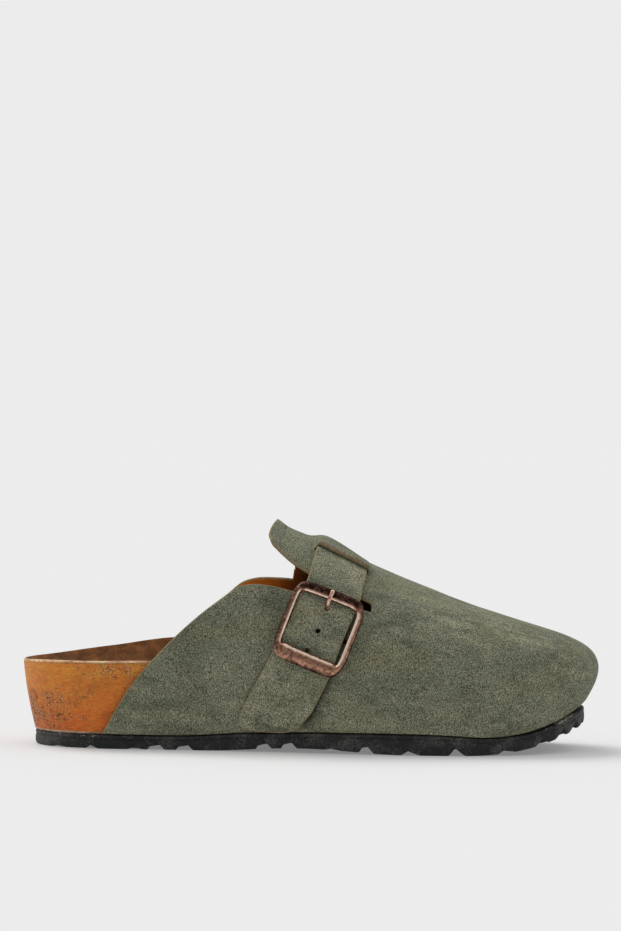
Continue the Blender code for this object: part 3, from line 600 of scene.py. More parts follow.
def vertex_normals(points, quads):
    normals = np.zeros_like(points)
    turns = face_turns(points, quads)
    for k in range(4):
        np.add.at(normals, quads[:, k], turns)
    return normals / np.maximum(np.linalg.norm(normals, axis=1), TINY)[:, None]


def welded(points, quads, apart=None):
    """Coinciding points made one, except those that are marked apart. Also gives each point's first index."""
    keys = np.round(points * WELDS_PER_MM).astype(np.int64)
    keys = np.column_stack([keys, np.zeros(len(points), int) if apart is None else apart])
    _, first, place = np.unique(keys, axis=0, return_index=True, return_inverse=True)
    quads = place.reshape(-1)[quads]
    whole = [len(set(quad)) > 2 for quad in quads.tolist()]
    return points[first], quads[whole], first


def grid_quads(rows, columns, start=0, closed=False):
    """Quads of a grid of points, row by row; a closed grid joins its last column to its first."""
    row = np.arange(rows - 1)[:, None] * columns
    column = np.arange(columns if closed else columns - 1)[None, :]
    after = (column + 1) % columns
    corners = [row + column, row + after, row + columns + after, row + columns + column]
    return start + np.stack(corners, axis=-1).reshape(-1, 4)


def as_faces(quads):
    """Tuples of corners, with a doubled corner left out."""
    return [tuple(dict.fromkeys(quad)) for quad in quads.tolist()]


def walled(points, quads, normals, low, high, bulge):
    """Points, faces and finishes of a wall with rounded cut edges.

    The last value gives the sheet's point that each point of the wall comes from.
    """
    count = len(points)
    faces = as_faces(quads)
    edges = {pair for face in faces for pair in zip(face, face[1:] + face[:1])}
    rim = sorted(pair for pair in edges if pair[::-1] not in edges)
    outer = points + normals * np.broadcast_to(high, count)[:, None]
    inner = points + normals * np.broadcast_to(low, count)[:, None]
    outward = np.zeros_like(points)
    for a, b in rim:
        turn = np.cross(points[b] - points[a], normals[a] + normals[b])
        outward[[a, b]] += turn / max(np.linalg.norm(turn), TINY)
    border = sorted({v for pair in rim for v in pair})
    outward[border] = unit(outward[border])
    top, down, out = outer[border], (inner - outer)[border], outward[border]
    strips = [top + down * u + out * bulge * s for u, s in EDGE_PROFILE]
    place = {v: k for k, v in enumerate(border)}

    def column(v):
        return [v] + [2 * count + j * len(border) + place[v] for j in range(len(EDGE_PROFILE))] + [v + count]

    all_faces = faces + [tuple(v + count for v in reversed(face)) for face in faces]
    finishes = [SKIN] * len(faces) + [INSIDE] * len(faces)
    for a, b in rim:
        left, right = column(a), column(b)
        for j in range(len(left) - 1):
            all_faces.append((right[j], left[j], left[j + 1], right[j + 1]))
            finishes.append(CUT_EDGE)
    source = np.concatenate([np.arange(count), np.arange(count)] + [np.array(border)] * len(EDGE_PROFILE))
    return np.vstack([outer, inner] + strips), all_faces, finishes, source


def add_piece(name, points, faces, finishes, materials, marks):
    """A shown mesh from points in millimetres on the last; marks are its named values at each point."""
    mesh = bpy.data.meshes.new(name)
    mesh.from_pydata(((points + TO_ROW) * MM).tolist(), [], faces)
    for made in materials:
        mesh.materials.append(made)
    mesh.polygons.foreach_set("material_index", np.array(finishes, np.int32))
    for mark, values in marks.items():
        mesh.attributes.new(mark, "FLOAT", "POINT").data.foreach_set("value", np.asarray(values, np.float32))
    work = bmesh.new()
    work.from_mesh(mesh)
    bmesh.ops.recalc_face_normals(work, faces=work.faces)
    work.to_mesh(mesh)
    work.free()
    mesh.shade_smooth()
    made = bpy.data.objects.new(name, mesh)
    bpy.context.scene.collection.objects.link(made)
    return made


def hand_over(piece, node):
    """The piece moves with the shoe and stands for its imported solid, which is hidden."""
    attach(piece, "root")
    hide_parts(node)


def opaque(value):
    return (*value, 1.0)


def add(tree, kind, inputs=None, stops=None, **settings):
    """Adds a node. Inputs are values or sockets to link, and stops are a ramp's places and colours."""
    made = tree.nodes.new(kind)
    for name, value in settings.items():
        setattr(made, name, value)
    for name, value in (inputs or {}).items():
        if isinstance(value, bpy.types.NodeSocket):
            tree.links.new(value, made.inputs[name])
        else:
            made.inputs[name].default_value = value
    if stops:
        made.color_ramp.elements[0].position = stops[0][0]
        made.color_ramp.elements[1].position = stops[-1][0]
        for place, _ in stops[1:-1]:
            made.color_ramp.elements.new(place)
        for element, (_, value) in zip(made.color_ramp.elements, stops):
            element.color = opaque(value) if isinstance(value, tuple) else (value, value, value, 1.0)
    return made


# Socket numbers of a colour Mix node
MIX_FACTOR, MIX_A, MIX_B, MIX_RESULT = 0, 6, 7, 2


class Nodes:
    """The kinds of node that the materials and the light share. Sizes and depths are in metres."""

    def __init__(self, tree):
        self.tree = tree

    def stretched(self, place, scale):
        return add(self.tree, "ShaderNodeMapping", {"Vector": place, "Scale": scale}).outputs[0]

    def noise(self, place, size, detail=2.0, roughness=0.5, distortion=0.0, output=0):
        """Cloudy noise with features of this size."""
        inputs = {"Vector": place, "Scale": 1.0 / size, "Detail": detail}
        inputs |= {"Roughness": roughness, "Distortion": distortion}
        return add(self.tree, "ShaderNodeTexNoise", inputs).outputs[output]

    def cells(self, place, size, feature="F1"):
        """Outputs of a pattern of close cells of this size."""
        inputs = {"Vector": place, "Scale": 1.0 / size}
        return add(self.tree, "ShaderNodeTexVoronoi", inputs, feature=feature).outputs

    def each(self, colour):
        """One random value for each cell, from the cells' colours."""
        return add(self.tree, "ShaderNodeSeparateColor", {"Color": colour}).outputs[0]

    def mark(self, name):
        """A value that the mesh carries at each point."""
        return add(self.tree, "ShaderNodeAttribute", attribute_name=name).outputs["Fac"]

    def math(self, operation, *values):
        return add(self.tree, "ShaderNodeMath", dict(enumerate(values)), operation=operation).outputs[0]

    def ramp(self, factor, *stops):
        return add(self.tree, "ShaderNodeValToRGB", {"Fac": factor}, stops=stops).outputs[0]

    def mix(self, share, below, above, blend="MIX"):
        """One colour over another; the one above may be a plain tone."""
        above = above if isinstance(above, bpy.types.NodeSocket) else opaque(above)
        inputs = {MIX_FACTOR: share, MIX_A: below, MIX_B: above}
        return add(self.tree, "ShaderNodeMix", inputs, data_type="RGBA", blend_type=blend).outputs[MIX_RESULT]

    def bump(self, height, strength, depth, below=None, invert=False):
        """Normals that follow a height, on top of the normals below."""
        inputs = {"Height": height, "Strength": strength, "Distance": depth}
        if below is not None:
            inputs["Normal"] = below
        return add(self.tree, "ShaderNodeBump", inputs, invert=invert).outputs[0]

    def feed(self, shader, sockets):
        for name, socket in sockets.items():
            self.tree.links.new(socket, shader.inputs[name])


def shades(tone, *steps):
    """Stops of a ramp: one tone, made darker or paler by a factor at each place."""
    return [(place, tuple(min(1.0, factor * c) for c in tone)) for place, factor in steps]


def between(one, other, share):
    return tuple((1.0 - share) * a + share * b for a, b in zip(one, other))


def new_material(name, values):
    """An empty material with its shader, whose constant values are set, and its place on the object."""
    made = bpy.data.materials.new(name)
    made.use_nodes = True
    tree = made.node_tree
    shader = tree.nodes["Principled BSDF"]
    for socket, value in values.items():
        shader.inputs[socket].default_value = value
    return made, Nodes(tree), shader, add(tree, "ShaderNodeTexCoord").outputs["Object"]


def nubuck_material(settings):
    """Grain leather buffed on its face and waxed: a dull short nap, cloudy where hands rubbed it, with pale
    wrinkles and a bright speckle where the fibres stand up. Painted light pales it low down, and painted
    shade darkens it beside the strap's edges and along the buckle's front bar."""
    known = bpy.data.materials.get("nubuck_buffed_waxed")
    if known:
        return known
    tones = settings.colours
    dark, mid, pale = tuple(tones.nubuck_dark), tuple(tones.nubuck_mid), tuple(tones.nubuck_pale)
    values = {
        "Roughness": 0.9,
        "Specular IOR Level": 0.22,
        "Sheen Weight": 0.03,
        "Sheen Roughness": 0.45,
        "Sheen Tint": opaque(linear("C9C6B2")),
    }
    made, nodes, shader, place = new_material("nubuck_buffed_waxed", values)
    along = nodes.stretched(place, (0.32, 1.0, 1.0))
    upright = nodes.stretched(place, (1.6, 1.0, 1.0))
    cloud = nodes.noise(place, 0.022, 4.0)
    rubbed = nodes.noise(along, 0.0062, 6.0, 0.68, 0.5)
    nap = nodes.noise(upright, settings.sizes.nap, 3.0, 0.8)
    tone = nodes.math("MULTIPLY", nodes.math("ADD", rubbed, cloud), 0.5)
    base = nodes.ramp(tone, (0.38, dark), (0.52, mid), (0.70, between(mid, pale, 0.4)))
    scuff = nodes.ramp(rubbed, (0.42, 0.0), (0.66, 1.0))
    # Pale where rubbed, and painted light low on the upper
    base = nodes.mix(nodes.math("MULTIPLY", scuff, nodes.mark("wear_and_painted_light")), base, pale)
    tanned = nodes.ramp(nodes.noise(along, 0.014, 3.0), (0.52, 0.0), (0.72, 0.45))
    base = nodes.mix(tanned, base, tones.nubuck_warm)
    # Painted shade: darker beside the strap's edges and along the buckle's front bar
    base = nodes.mix(nodes.mark("dirt_and_painted_shade"), base, tuple(0.3 * c for c in dark))
    speckle = nodes.ramp(nap, (0.39, 0.12), (0.50, 0.45), (0.61, 1.0))
    base = nodes.mix(1.0, base, speckle, "OVERLAY")
    raised = nodes.bump(nap, 0.6, 0.00045, nodes.bump(rubbed, 0.35, 0.0012))
    nodes.feed(shader, {"Base Color": base, "Normal": raised})
    return made


def raw_edge_material(name, tan):
    """Cut edge of the leather, left raw: a fibrous tan line, darker where handling soiled it."""
    known = bpy.data.materials.get(name)
    if known:
        return known
    made, nodes, shader, place = new_material(name, {"Roughness": 0.9, "Specular IOR Level": 0.2})
    fibre = nodes.noise(place, 0.0011, 4.0, 0.7)
    base = nodes.ramp(fibre, *shades(tan, (0.30, 0.45), (0.52, 1.0), (0.75, 1.35)))
    nodes.feed(shader, {"Base Color": base, "Normal": nodes.bump(fibre, 0.5, 0.0004)})
    return made


def cut_edge_material(settings):
    """Edge of the flaps, the tab and the strap: pale where the cut is clean."""
    return raw_edge_material("leather_cut_edge_raw", settings.colours.cut_edge)


def shaded_lip_edge_material(settings):
    """Edge of the lip over the strap: browner and darker, painted shade on an edge that faces down over the
    strap.
    """
    return raw_edge_material("leather_cut_edge_painted_shade", settings.colours.lip_edge_shade)


def upper_lining_material(settings):
    """Thin dyed lining leather with its grain kept: smooth, warm and slightly glossy, with a faint pore
    pattern, and painted shade that darkens it towards the toe."""
    tones = settings.colours
    values = {"Roughness": 0.6, "Specular IOR Level": 0.4}
    made, nodes, shader, place = new_material("lining_leather_dyed", values)
    cloud = nodes.noise(place, 0.012, 5.0)
    base = nodes.ramp(cloud, *shades(tones.upper_lining, (0.30, 0.55), (0.55, 1.0), (0.80, 1.25)))
    # Painted shade darkens the lining towards the toe
    base = nodes.mix(nodes.mark("deep"), base, tones.lining_shade)
    pores = nodes.cells(place, 0.0014)["Distance"]
    nodes.feed(shader, {"Base Color": base, "Normal": nodes.bump(pores, 0.25, 0.0003)})
    return made


def cork_material(settings):
    """Cork granules pressed with latex and sealed: an orange-tan body with a low satin coat, granules of many
    tones, dark bark specks, pits where granules broke out, and fine dark cracks where it dried. Painted light
    makes it paler high up and darker low down, and a painted highlight runs along the cracks' edges."""
    tones, grain = settings.colours, settings.sizes.cork_grain
    values = {"Roughness": 0.58, "Specular IOR Level": 0.35, "Coat Weight": 0.12, "Coat Roughness": 0.45}
    made, nodes, shader, place = new_material("cork_pressed_sealed", values)
    flat = nodes.stretched(place, (0.7, 0.7, 1.25))
    jitter = {0: nodes.noise(flat, 0.004, 3.0, output="Color"), 1: (0.0022, 0.0022, 0.0022), 2: flat}
    bent = add(nodes.tree, "ShaderNodeVectorMath", jitter, operation="MULTIPLY_ADD").outputs[0]
    cloud = nodes.noise(flat, 0.011, 6.0, 0.7)
    base = nodes.ramp(cloud, *shades(tones.cork, (0.30, 0.66), (0.50, 1.0), (0.75, 1.22)))
    # Painted light: the cork is made paler high up and darker low down, as light falls from above
    height = add(nodes.tree, "ShaderNodeSeparateXYZ", {"Vector": place}).outputs["Z"]
    dirt_and_painted_shade = nodes.ramp(nodes.math("MULTIPLY", height, 1.0 / 0.04), (0.25, 0.39), (0.95, 0.64))
    base = nodes.mix(1.0, base, dirt_and_painted_shade, "OVERLAY")
    granules = nodes.cells(bent, grain)
    tint = nodes.ramp(nodes.each(granules["Color"]), (0.0, 0.40), (0.5, 0.50), (1.0, 0.62))
    base = nodes.mix(0.4, base, tint, "OVERLAY")
    relief = nodes.noise(flat, 0.0014, 5.0, 0.7, 0.6)
    base = nodes.mix(0.9, base, nodes.ramp(relief, (0.36, 0.34), (0.64, 0.66)), "OVERLAY")
    from_crack = nodes.cells(bent, 0.0012, "DISTANCE_TO_EDGE")["Distance"]
    dried = nodes.noise(place, 0.004, 5.0, 0.75)
    for name, much in (("rough", 0.15), ("crackle", 0.10)):
        dried = nodes.math("MULTIPLY_ADD", nodes.mark(name), much, dried)
    dried = nodes.ramp(dried, (0.54, 0.0), (0.72, 1.0))
    # Painted highlight: pale lines beside the cracks, where their raised edges would catch the light
    beside = nodes.ramp(from_crack, (0.12, 0.0), (0.22, 0.95), (0.36, 0.0))
    base = nodes.mix(nodes.math("MULTIPLY", beside, dried), base, tones.cork_highlight)
    crumbs = nodes.each(nodes.cells(bent, 0.45 * grain)["Color"])
    # Dark bark specks, and darker in the pits
    bark = nodes.math("MULTIPLY", nodes.math("ADD", crumbs, nodes.mark("pit")), 0.5)
    base = nodes.mix(nodes.ramp(bark, (0.495, 0.0), (0.75, 0.5)), base, tones.cork_dark)
    crack = nodes.math("MULTIPLY", nodes.ramp(from_crack, (0.03, 0.80), (0.16, 0.0)), dried)
    base = nodes.mix(crack, base, tones.cork_dark)
    raised = nodes.bump(relief, 1.0, 0.0018, nodes.bump(granules["Distance"], 0.3, 0.0005))
    cut = nodes.bump(crack, 0.4, 0.0008, raised, invert=True)
    nodes.feed(shader, {"Base Color": base, "Normal": cut})
    return made


def glue_material(settings):
    """Dried latex glue squeezed out between cork and outsole: a thin pale bead, satin and slightly soiled."""
    values = {"Roughness": 0.6, "Specular IOR Level": 0.4}
    made, nodes, shader, place = new_material("latex_glue_dried", values)
    dirt_and_painted_shade = nodes.noise(place, 0.004, 4.0, 0.7)
    base = nodes.ramp(dirt_and_painted_shade, *shades(settings.colours.glue, (0.35, 0.45), (0.60, 1.0)))
    nodes.feed(shader, {"Base Color": base})
    return made


def suede_material(settings, name, tone):
    """Split leather with its fibres brushed up: a dull brown nap, patchy where the foot laid it over."""
    values = {
        "Roughness": 0.95,
        "Specular IOR Level": 0.15,
        "Sheen Weight": 0.2,
        "Sheen Roughness": 0.5,
        "Sheen Tint": opaque(linear("C79A6E")),
    }
    made, nodes, shader, place = new_material(name, values)
    laid = nodes.noise(place, 0.008, 6.0, 0.72, 0.4)
    nap = nodes.noise(place, settings.sizes.nap, 3.0, 0.8)
    base = nodes.ramp(laid, *shades(tone, (0.34, 0.5), (0.50, 1.0), (0.66, 1.9)))
    base = nodes.mix(0.6, base, nodes.ramp(nap, (0.3, 0.36), (0.72, 0.66)), "OVERLAY")
    nodes.feed(shader, {"Base Color": base, "Normal": nodes.bump(nap, 0.5, 0.0004)})
    return made


def sole_material(settings):
    """Foamed rubber moulded in a grained tool: near black and dull, with dust caught in the grain and crumbs
    of glue along its top edge."""
    tones = settings.colours
    values = {"Roughness": 0.62, "Specular IOR Level": 0.4}
    made, nodes, shader, place = new_material("rubber_foam_moulded", values)
    grain = nodes.noise(place, settings.sizes.sole_grain, 3.0, 0.7)
    dusty = nodes.math("MULTIPLY", grain, nodes.noise(place, 0.009, 5.0))
    base = nodes.ramp(dusty, *shades(tones.sole, (0.14, 0.5), (0.24, 1.0)), (0.34, tuple(tones.sole_dust)))
    crumbs = nodes.ramp(nodes.math("MULTIPLY", nodes.mark("glue"), grain), (0.40, 0.0), (0.52, 0.95))
    base = nodes.mix(crumbs, base, tones.glue_crumbs)
    nodes.feed(shader, {"Base Color": base, "Normal": nodes.bump(grain, 0.8, 0.0005)})
    return made


def copper_material(settings):
    """Cast zinc plated with copper, darkened and then rubbed: rosy faces with brown patina in the hollows and
    bright edges where the patina is rubbed off. Its rub mark also paints light on it: highlights on the inner
    edges and on one corner, reflections on the bars' faces, and shade along the outer edges."""
    known = bpy.data.materials.get("copper_plate_antiqued")
    if known:
        return known
    tones = settings.colours
    dark, face, bright = tuple(tones.copper_dark), tuple(tones.copper), tuple(tones.copper_bright)
    made, nodes, shader, place = new_material("copper_plate_antiqued", {"Metallic": 1.0})
    blotch = nodes.noise(place, 0.0017, 5.0, 0.7)
    # The rub mark carries rubbed plating together with painted highlights, reflections and shade
    bare = nodes.math("SUBTRACT", nodes.math("MULTIPLY_ADD", blotch, 1.5, nodes.mark("rub_and_painted_light")), 0.78)
    brown = between(face, dark, 0.65)
    base = nodes.ramp(bare, (0.06, dark), (0.38, brown), (0.60, face), (0.76, face), (0.97, bright))
    gloss = nodes.ramp(bare, (0.15, 0.42), (0.90, 0.12))
    raised = nodes.bump(blotch, 0.25, 0.0003)
    nodes.feed(shader, {"Base Color": base, "Roughness": gloss, "Normal": raised})
    return made


def upper_stations():
    """Stations of the upper's ribs, closer together round the ends of the tab, the slot and the slits."""
    plain = np.arange(UPPER_REAR_X, TOE_POLE_X, UPPER_STEP)
    fine = [np.linspace(*run) for run in CLOSE_RUNS]
    run = SLOT_FRONT[0] - SLOT_REAR[0]
    fine.append(np.linspace(SLOT_REAR[0], SLOT_REAR[0] + LIP_RAMP_REAR * run, SLOT_RUNS[0]))
    fine.append(np.linspace(SLOT_FRONT[0] - LIP_RAMP_FRONT * run, SLOT_FRONT[0], SLOT_RUNS[1]))
    toe = TOE_POLE_X + (FEATHER_TOE_X - TOE_POLE_X) * np.sin(np.linspace(0.0, np.pi / 2, TOE_FAN))
    stations = np.unique(np.round(np.concatenate([plain, *fine, toe]), 3))
    keep = np.append(True, np.diff(stations) > STATION_GAP)
    keep |= np.isin(stations, (TAB_REAR_X, round(FEATHER_TOE_X, 3)))
    return stations[keep]


def levels(x, side_name):
    """The t of the flap's edge, the tab's edge and the slot's line on the rib at each station."""
    end = SLIT_END_X[side_name]
    near = np.minimum(x, end)
    lines = ribs(near, SIDES[side_name])
    flap = at_height(lines, read(FLAP_EDGE, side_name, near))
    tab = np.where(x < TAB_REAR_X, flap, at_height(lines, read(TAB_EDGE, side_name, near)))
    past = np.clip((x - end) / SLIT_ROUND[side_name], 0.0, 1.0)
    middle, half = 0.5 * (flap + tab), 0.5 * (tab - flap) * (1 - past**SLIT_POWER) ** (1 / SLIT_POWER)
    flap, tab = middle - half, middle + half
    slot_x = np.clip(x, SLOT_REAR[0], SLOT_FRONT[0])
    share = (slot_x - SLOT_REAR[0]) / (SLOT_FRONT[0] - SLOT_REAR[0])
    slot_height = SLOT_REAR[1] + share * (SLOT_FRONT[1] - SLOT_REAR[1])
    slot = at_height(ribs(slot_x, SIDES["outer"]), slot_height)
    away = np.minimum(np.abs(x - slot_x) / SLOT_FADE, 1.0)
    slot = slot + away * (tab + SLOT_SHARE * (1 - tab) - slot)
    return np.stack([flap, tab, np.maximum(slot, tab + SLOT_LEAST * (1 - tab))])


def lip_rise(x, share):
    """Height of the raised lip over the strap: share is 0 at the slot, 1 on the ridge and 2 beyond it."""
    along = (x - SLOT_REAR[0]) / (SLOT_FRONT[0] - SLOT_REAR[0])
    edge = LIP_RISE * (1 - LIP_TAPER * along)
    edge = edge * ease(along / LIP_RAMP_REAR) * ease((1 - along) / LIP_RAMP_FRONT)
    place = np.clip((along + CROWN_START) / CROWN_RUN, 0.0, 1.0)
    crown = CROWN_RISE * np.sin(np.pi * place**CROWN_SKEW) * ease(place / CROWN_FADE)
    return (edge + ease(share) * (crown - edge)) * ease(1.0 - 0.5 * share)


def upper_sheet():
    """Points, quads, lip rises and feather marks of the upper's sheet on the last."""
    x = upper_stations()
    toe = ease((x - TOE_POLE_X) / (FEATHER_TOE_X - TOE_POLE_X))
    outer_levels = levels(x, "outer")
    first = int(np.searchsorted(x, TAB_REAR_X))
    points, quads, rises, feet, lips, start = [], [], [], [], [], 0
    for side_name, side in SIDES.items():
        own = levels(x, side_name)
        flap, tab, slot = own + toe * (outer_levels - own)
        lines = ribs(x, side)
        foot, ridge = np.zeros(len(x)), np.ones(len(x))
        bands = ((foot, flap, LOW_ROWS), (tab, slot, MIDDLE_ROWS), (slot, ridge, TOP_ROWS))
        for band, (low, high, rows) in enumerate(bands):
            skip = 0 if band == 0 else first
            share = np.linspace(0.0, 1.0, rows + 1)
            t = (low[:, None] + (high - low)[:, None] * share)[skip:]
            found = on_ribs(lines[:, skip:], t)
            here = x[skip:, None] + 0.0 * share
            if band > 0:
                back = np.clip((TAB_FRONT_X - here) / (TAB_FRONT_X - TAB_REAR_X), 0.0, 1.0)
                ends = np.stack([tab, ridge], axis=-1)[skip:]
                ends = on_ribs(lines[:, skip:], ends)[..., 2]
                climb = (found[..., 2] - ends[:, :1]) / (ends[:, 1:] - ends[:, :1])
                climb = np.clip(RAKE_START[side_name] + climb, 0.0, 1.0)
                found[..., 0] += TAB_RAKE * back * climb**RAKE_POWER
            rise = lip_rise(here, share if side < 0 else 2.0 - share) * (band == 2)
            points.append(found.reshape(-1, 3))
            rises.append(rise.ravel())
            lips.append(((rise > 0) & (share == 0) & (side < 0)).ravel())
            feet.append(((share == 0) & (band == 0) & (here > 0)).ravel())
            made = grid_quads(len(t), rows + 1, start)
            quads.append(made[:, ::-1] if side < 0 else made)
            start += found.shape[0] * found.shape[1]
    lips = np.concatenate(lips).astype(int)
    points, quads, kept = welded(np.vstack(points), np.vstack(quads), lips)
    return points, quads, np.concatenate(rises)[kept], np.concatenate(feet)[kept]


def wrinkled(points):
    """How far the leather is pushed in or out by its wrinkles and soft dents, and where it is paler: rubbed
    along the wrinkles, paler high up at the front, and painted light low down.
    """
    push, wear_and_painted_light = np.zeros(len(points)), np.zeros(len(points))
    steps = np.linspace(0.0, 1.0, WRINKLE_STEPS)
    for row in zip(*(WRINKLES[name] for name in WRINKLES)):
        side, x1, height1, x2, height2, sag, width, depth = row
        x = x1 + (x2 - x1) * steps
        height = height1 + (height2 - height1) * steps - 4 * sag * steps * (1 - steps)
        lines = ribs(x, side)
        trace = on_ribs(lines, at_height(lines, height))
        near = np.where(np.abs(points - trace.mean(axis=0)).max(axis=1) < WRINKLE_REACH)[0]
        apart = np.linalg.norm(points[near][:, None] - trace[None], axis=2)
        best = apart.argmin(axis=1)
        d = apart.min(axis=1) / width
        taper = np.sin(np.pi * steps[best]) ** WRINKLE_TAPER
        hat = (1 - WRINKLE_RIDGE * d**2) * np.exp(-(d**2)) * taper
        push[near] -= depth * hat
        beside = BESIDE_WEAR * taper * np.exp(-(d**2) / BESIDE_WIDTH)
        wear_and_painted_light[near] = np.maximum(wear_and_painted_light[near], np.clip(-RIDGE_WEAR * hat, 0, 1) + beside)
    push += sum(depth * wave(points, size) for depth, size in DENTS)
    # Paler high up towards the front
    high = fade(points[:, 2], *PALER_HEIGHT) * fade(points[:, 0], *PALER_X)
    # Painted light: paler low down, as if lit from the floor
    low = fade(points[:, 2], *BOUNCE_HEIGHT)
    return push, np.clip(wear_and_painted_light + PALER_HIGH * high + BOUNCE_LIGHT * low, 0.0, 1.0)


def strap_painted_shade(points):
    """Painted shade on the upper beside the strap's edges, most under the lifted front one."""
    x, _, height = points.T
    dirt_and_painted_shade = np.zeros(len(points))
    for edge, (most, width, low, high) in SHADE_BESIDE_STRAP.items():
        line = np.interp(height, STRAP[f"{edge}_height"][::-1], STRAP[f"{edge}_x"][::-1])
        dirt_and_painted_shade += most * np.exp(-(((x - line) / width) ** 2)) * fade(height, *low) * fade(height, *high)
    return np.where(points[:, 1] < 0, dirt_and_painted_shade, 0.0)


def build_upper(settings):
    """The upper as one hollow wall on the last, with its skin, its lining and its cut edges."""
    sizes = settings.sizes
    points, quads, rises, feet = upper_sheet()
    normals = vertex_normals(points, quads)
    normals[feet, 2] = 0.0
    normals = unit(normals)
    push, wear_and_painted_light = wrinkled(points)
    push *= fade(points[:, 2] - feather_height(points[:, 0]), *DENT_FOOT)
    low = rises + push + UPPER_GAP
    wall = in_mm(sizes.upper_wall)
    bulge = in_mm(sizes.edge_round)
    walls, faces, finishes, source = walled(points, quads, normals, low, low + wall, bulge)
    floor = feather_height(walls[:, 0]) + UPPER_GAP - GAP
    walls[:, 2] = np.where(feet[source], floor, np.maximum(walls[:, 2], floor))
    lowest = np.array([rises[source[list(face)]].min() for face in faces])
    cut = np.asarray(finishes) == CUT_EDGE
    # Cut edges high on the lip take the darker finish, painted shade
    lip = np.where(lowest > LIP_SHADED, LIP_EDGE, SKIN)
    finishes = np.where(cut & (lowest > LIP_START), lip, finishes)
    skins = [nubuck_material(settings), upper_lining_material(settings)]
    skins += [cut_edge_material(settings), shaded_lip_edge_material(settings)]
    deep = fade(points[:, 0], *TOE_SHADE_X)
    # Marks: the first pales the nubuck and includes painted light low down, the second is painted shade
    # inside the toe, the third is painted shade beside the strap
    marks = {"wear_and_painted_light": wear_and_painted_light[source], "deep": deep[source], "dirt_and_painted_shade": strap_painted_shade(points)[source]}
    piece = add_piece("upper_leather", walls, faces, finishes, skins, marks)
    hand_over(piece, "upper")


def on_buckle(across, along, lift):
    """Points and normals over the outer wall, measured from the buckle's middle along its own axes."""
    turn, rise = math.sin(BUCKLE_TILT), math.cos(BUCKLE_TILT)
    places = (np.atleast_1d(np.asarray(value, float)) for value in (across, along, lift))
    across, along, lift = np.broadcast_arrays(*places)
    x = BUCKLE_X + across * rise + along * turn
    height = BUCKLE_HEIGHT - across * turn + along * rise
    return outer_side(x, height, lift)


def strap_sheet():
    """Points, quads and normals of the strap's underside, with its lower end trimmed to shape."""
    middle_x = 0.5 * (STRAP["rear_x"] + STRAP["front_x"])
    middle_height = 0.5 * (STRAP["rear_height"] + STRAP["front_height"])
    run = np.append(0.0, np.cumsum(np.hypot(np.diff(middle_x), np.diff(middle_height))))
    rows = {"x": run, **STRAP}
    across = 0.5 - 0.5 * np.cos(np.linspace(0.0, np.pi, STRAP_COLUMNS + 1))
    even = np.linspace(0.0, 1.0, STRAP_COLUMNS + 1)
    across = STRAP_CROWDING * across + (1 - STRAP_CROWDING) * even
    ends = run[-1] - read(STRAP_END, "trim", across)
    place = (np.linspace(0.0, 1.0, STRAP_ROWS + 1)[:, None] * ends).ravel()
    across = np.tile(across, STRAP_ROWS + 1)
    row = {name: read(rows, name, place) for name in STRAP}
    x = row["rear_x"] + across * (row["front_x"] - row["rear_x"])
    height = row["rear_height"] + across * (row["front_height"] - row["rear_height"])
    curl_start, curl_length = (share * run[-1] for share in CURL_ALONG)
    curl = STRAP_CURL * fade(across, *CURL_ACROSS) * fade(place, curl_start, curl_length)
    points, normals = outer_side(x, height, row["lift"] + curl)
    quads = grid_quads(STRAP_ROWS + 1, STRAP_COLUMNS + 1)
    return points, quads[:, ::-1], normals


def punch(piece, across, along, radius):
    """Cuts one round hole through the strap."""
    (low, high), _ = on_buckle(across, along, PUNCH_LIFTS)
    axis = Vector(high - low)
    made = bpy.data.meshes.new("punch")
    work = bmesh.new()
    size = {"radius1": radius * MM, "radius2": radius * MM, "depth": axis.length * MM}
    bmesh.ops.create_cone(work, cap_ends=True, segments=PUNCH_SIDES, **size)
    middle = Vector((0.5 * (low + high) + TO_ROW) * MM)
    work.transform(Matrix.Translation(middle) @ axis.to_track_quat("Z", "Y").to_matrix().to_4x4())
    for face in work.faces:
        face.material_index = CUT_EDGE
    work.to_mesh(made)
    work.free()
    tool = bpy.data.objects.new("punch", made)
    bpy.context.scene.collection.objects.link(tool)
    step = piece.modifiers.new("punch", "BOOLEAN")
    step.operation, step.solver, step.object = "DIFFERENCE", "EXACT", tool
    graph = bpy.context.evaluated_depsgraph_get()
    cut = bpy.data.meshes.new_from_object(piece.evaluated_get(graph))
    piece.modifiers.clear()
    piece.data = cut
    bpy.data.objects.remove(tool)


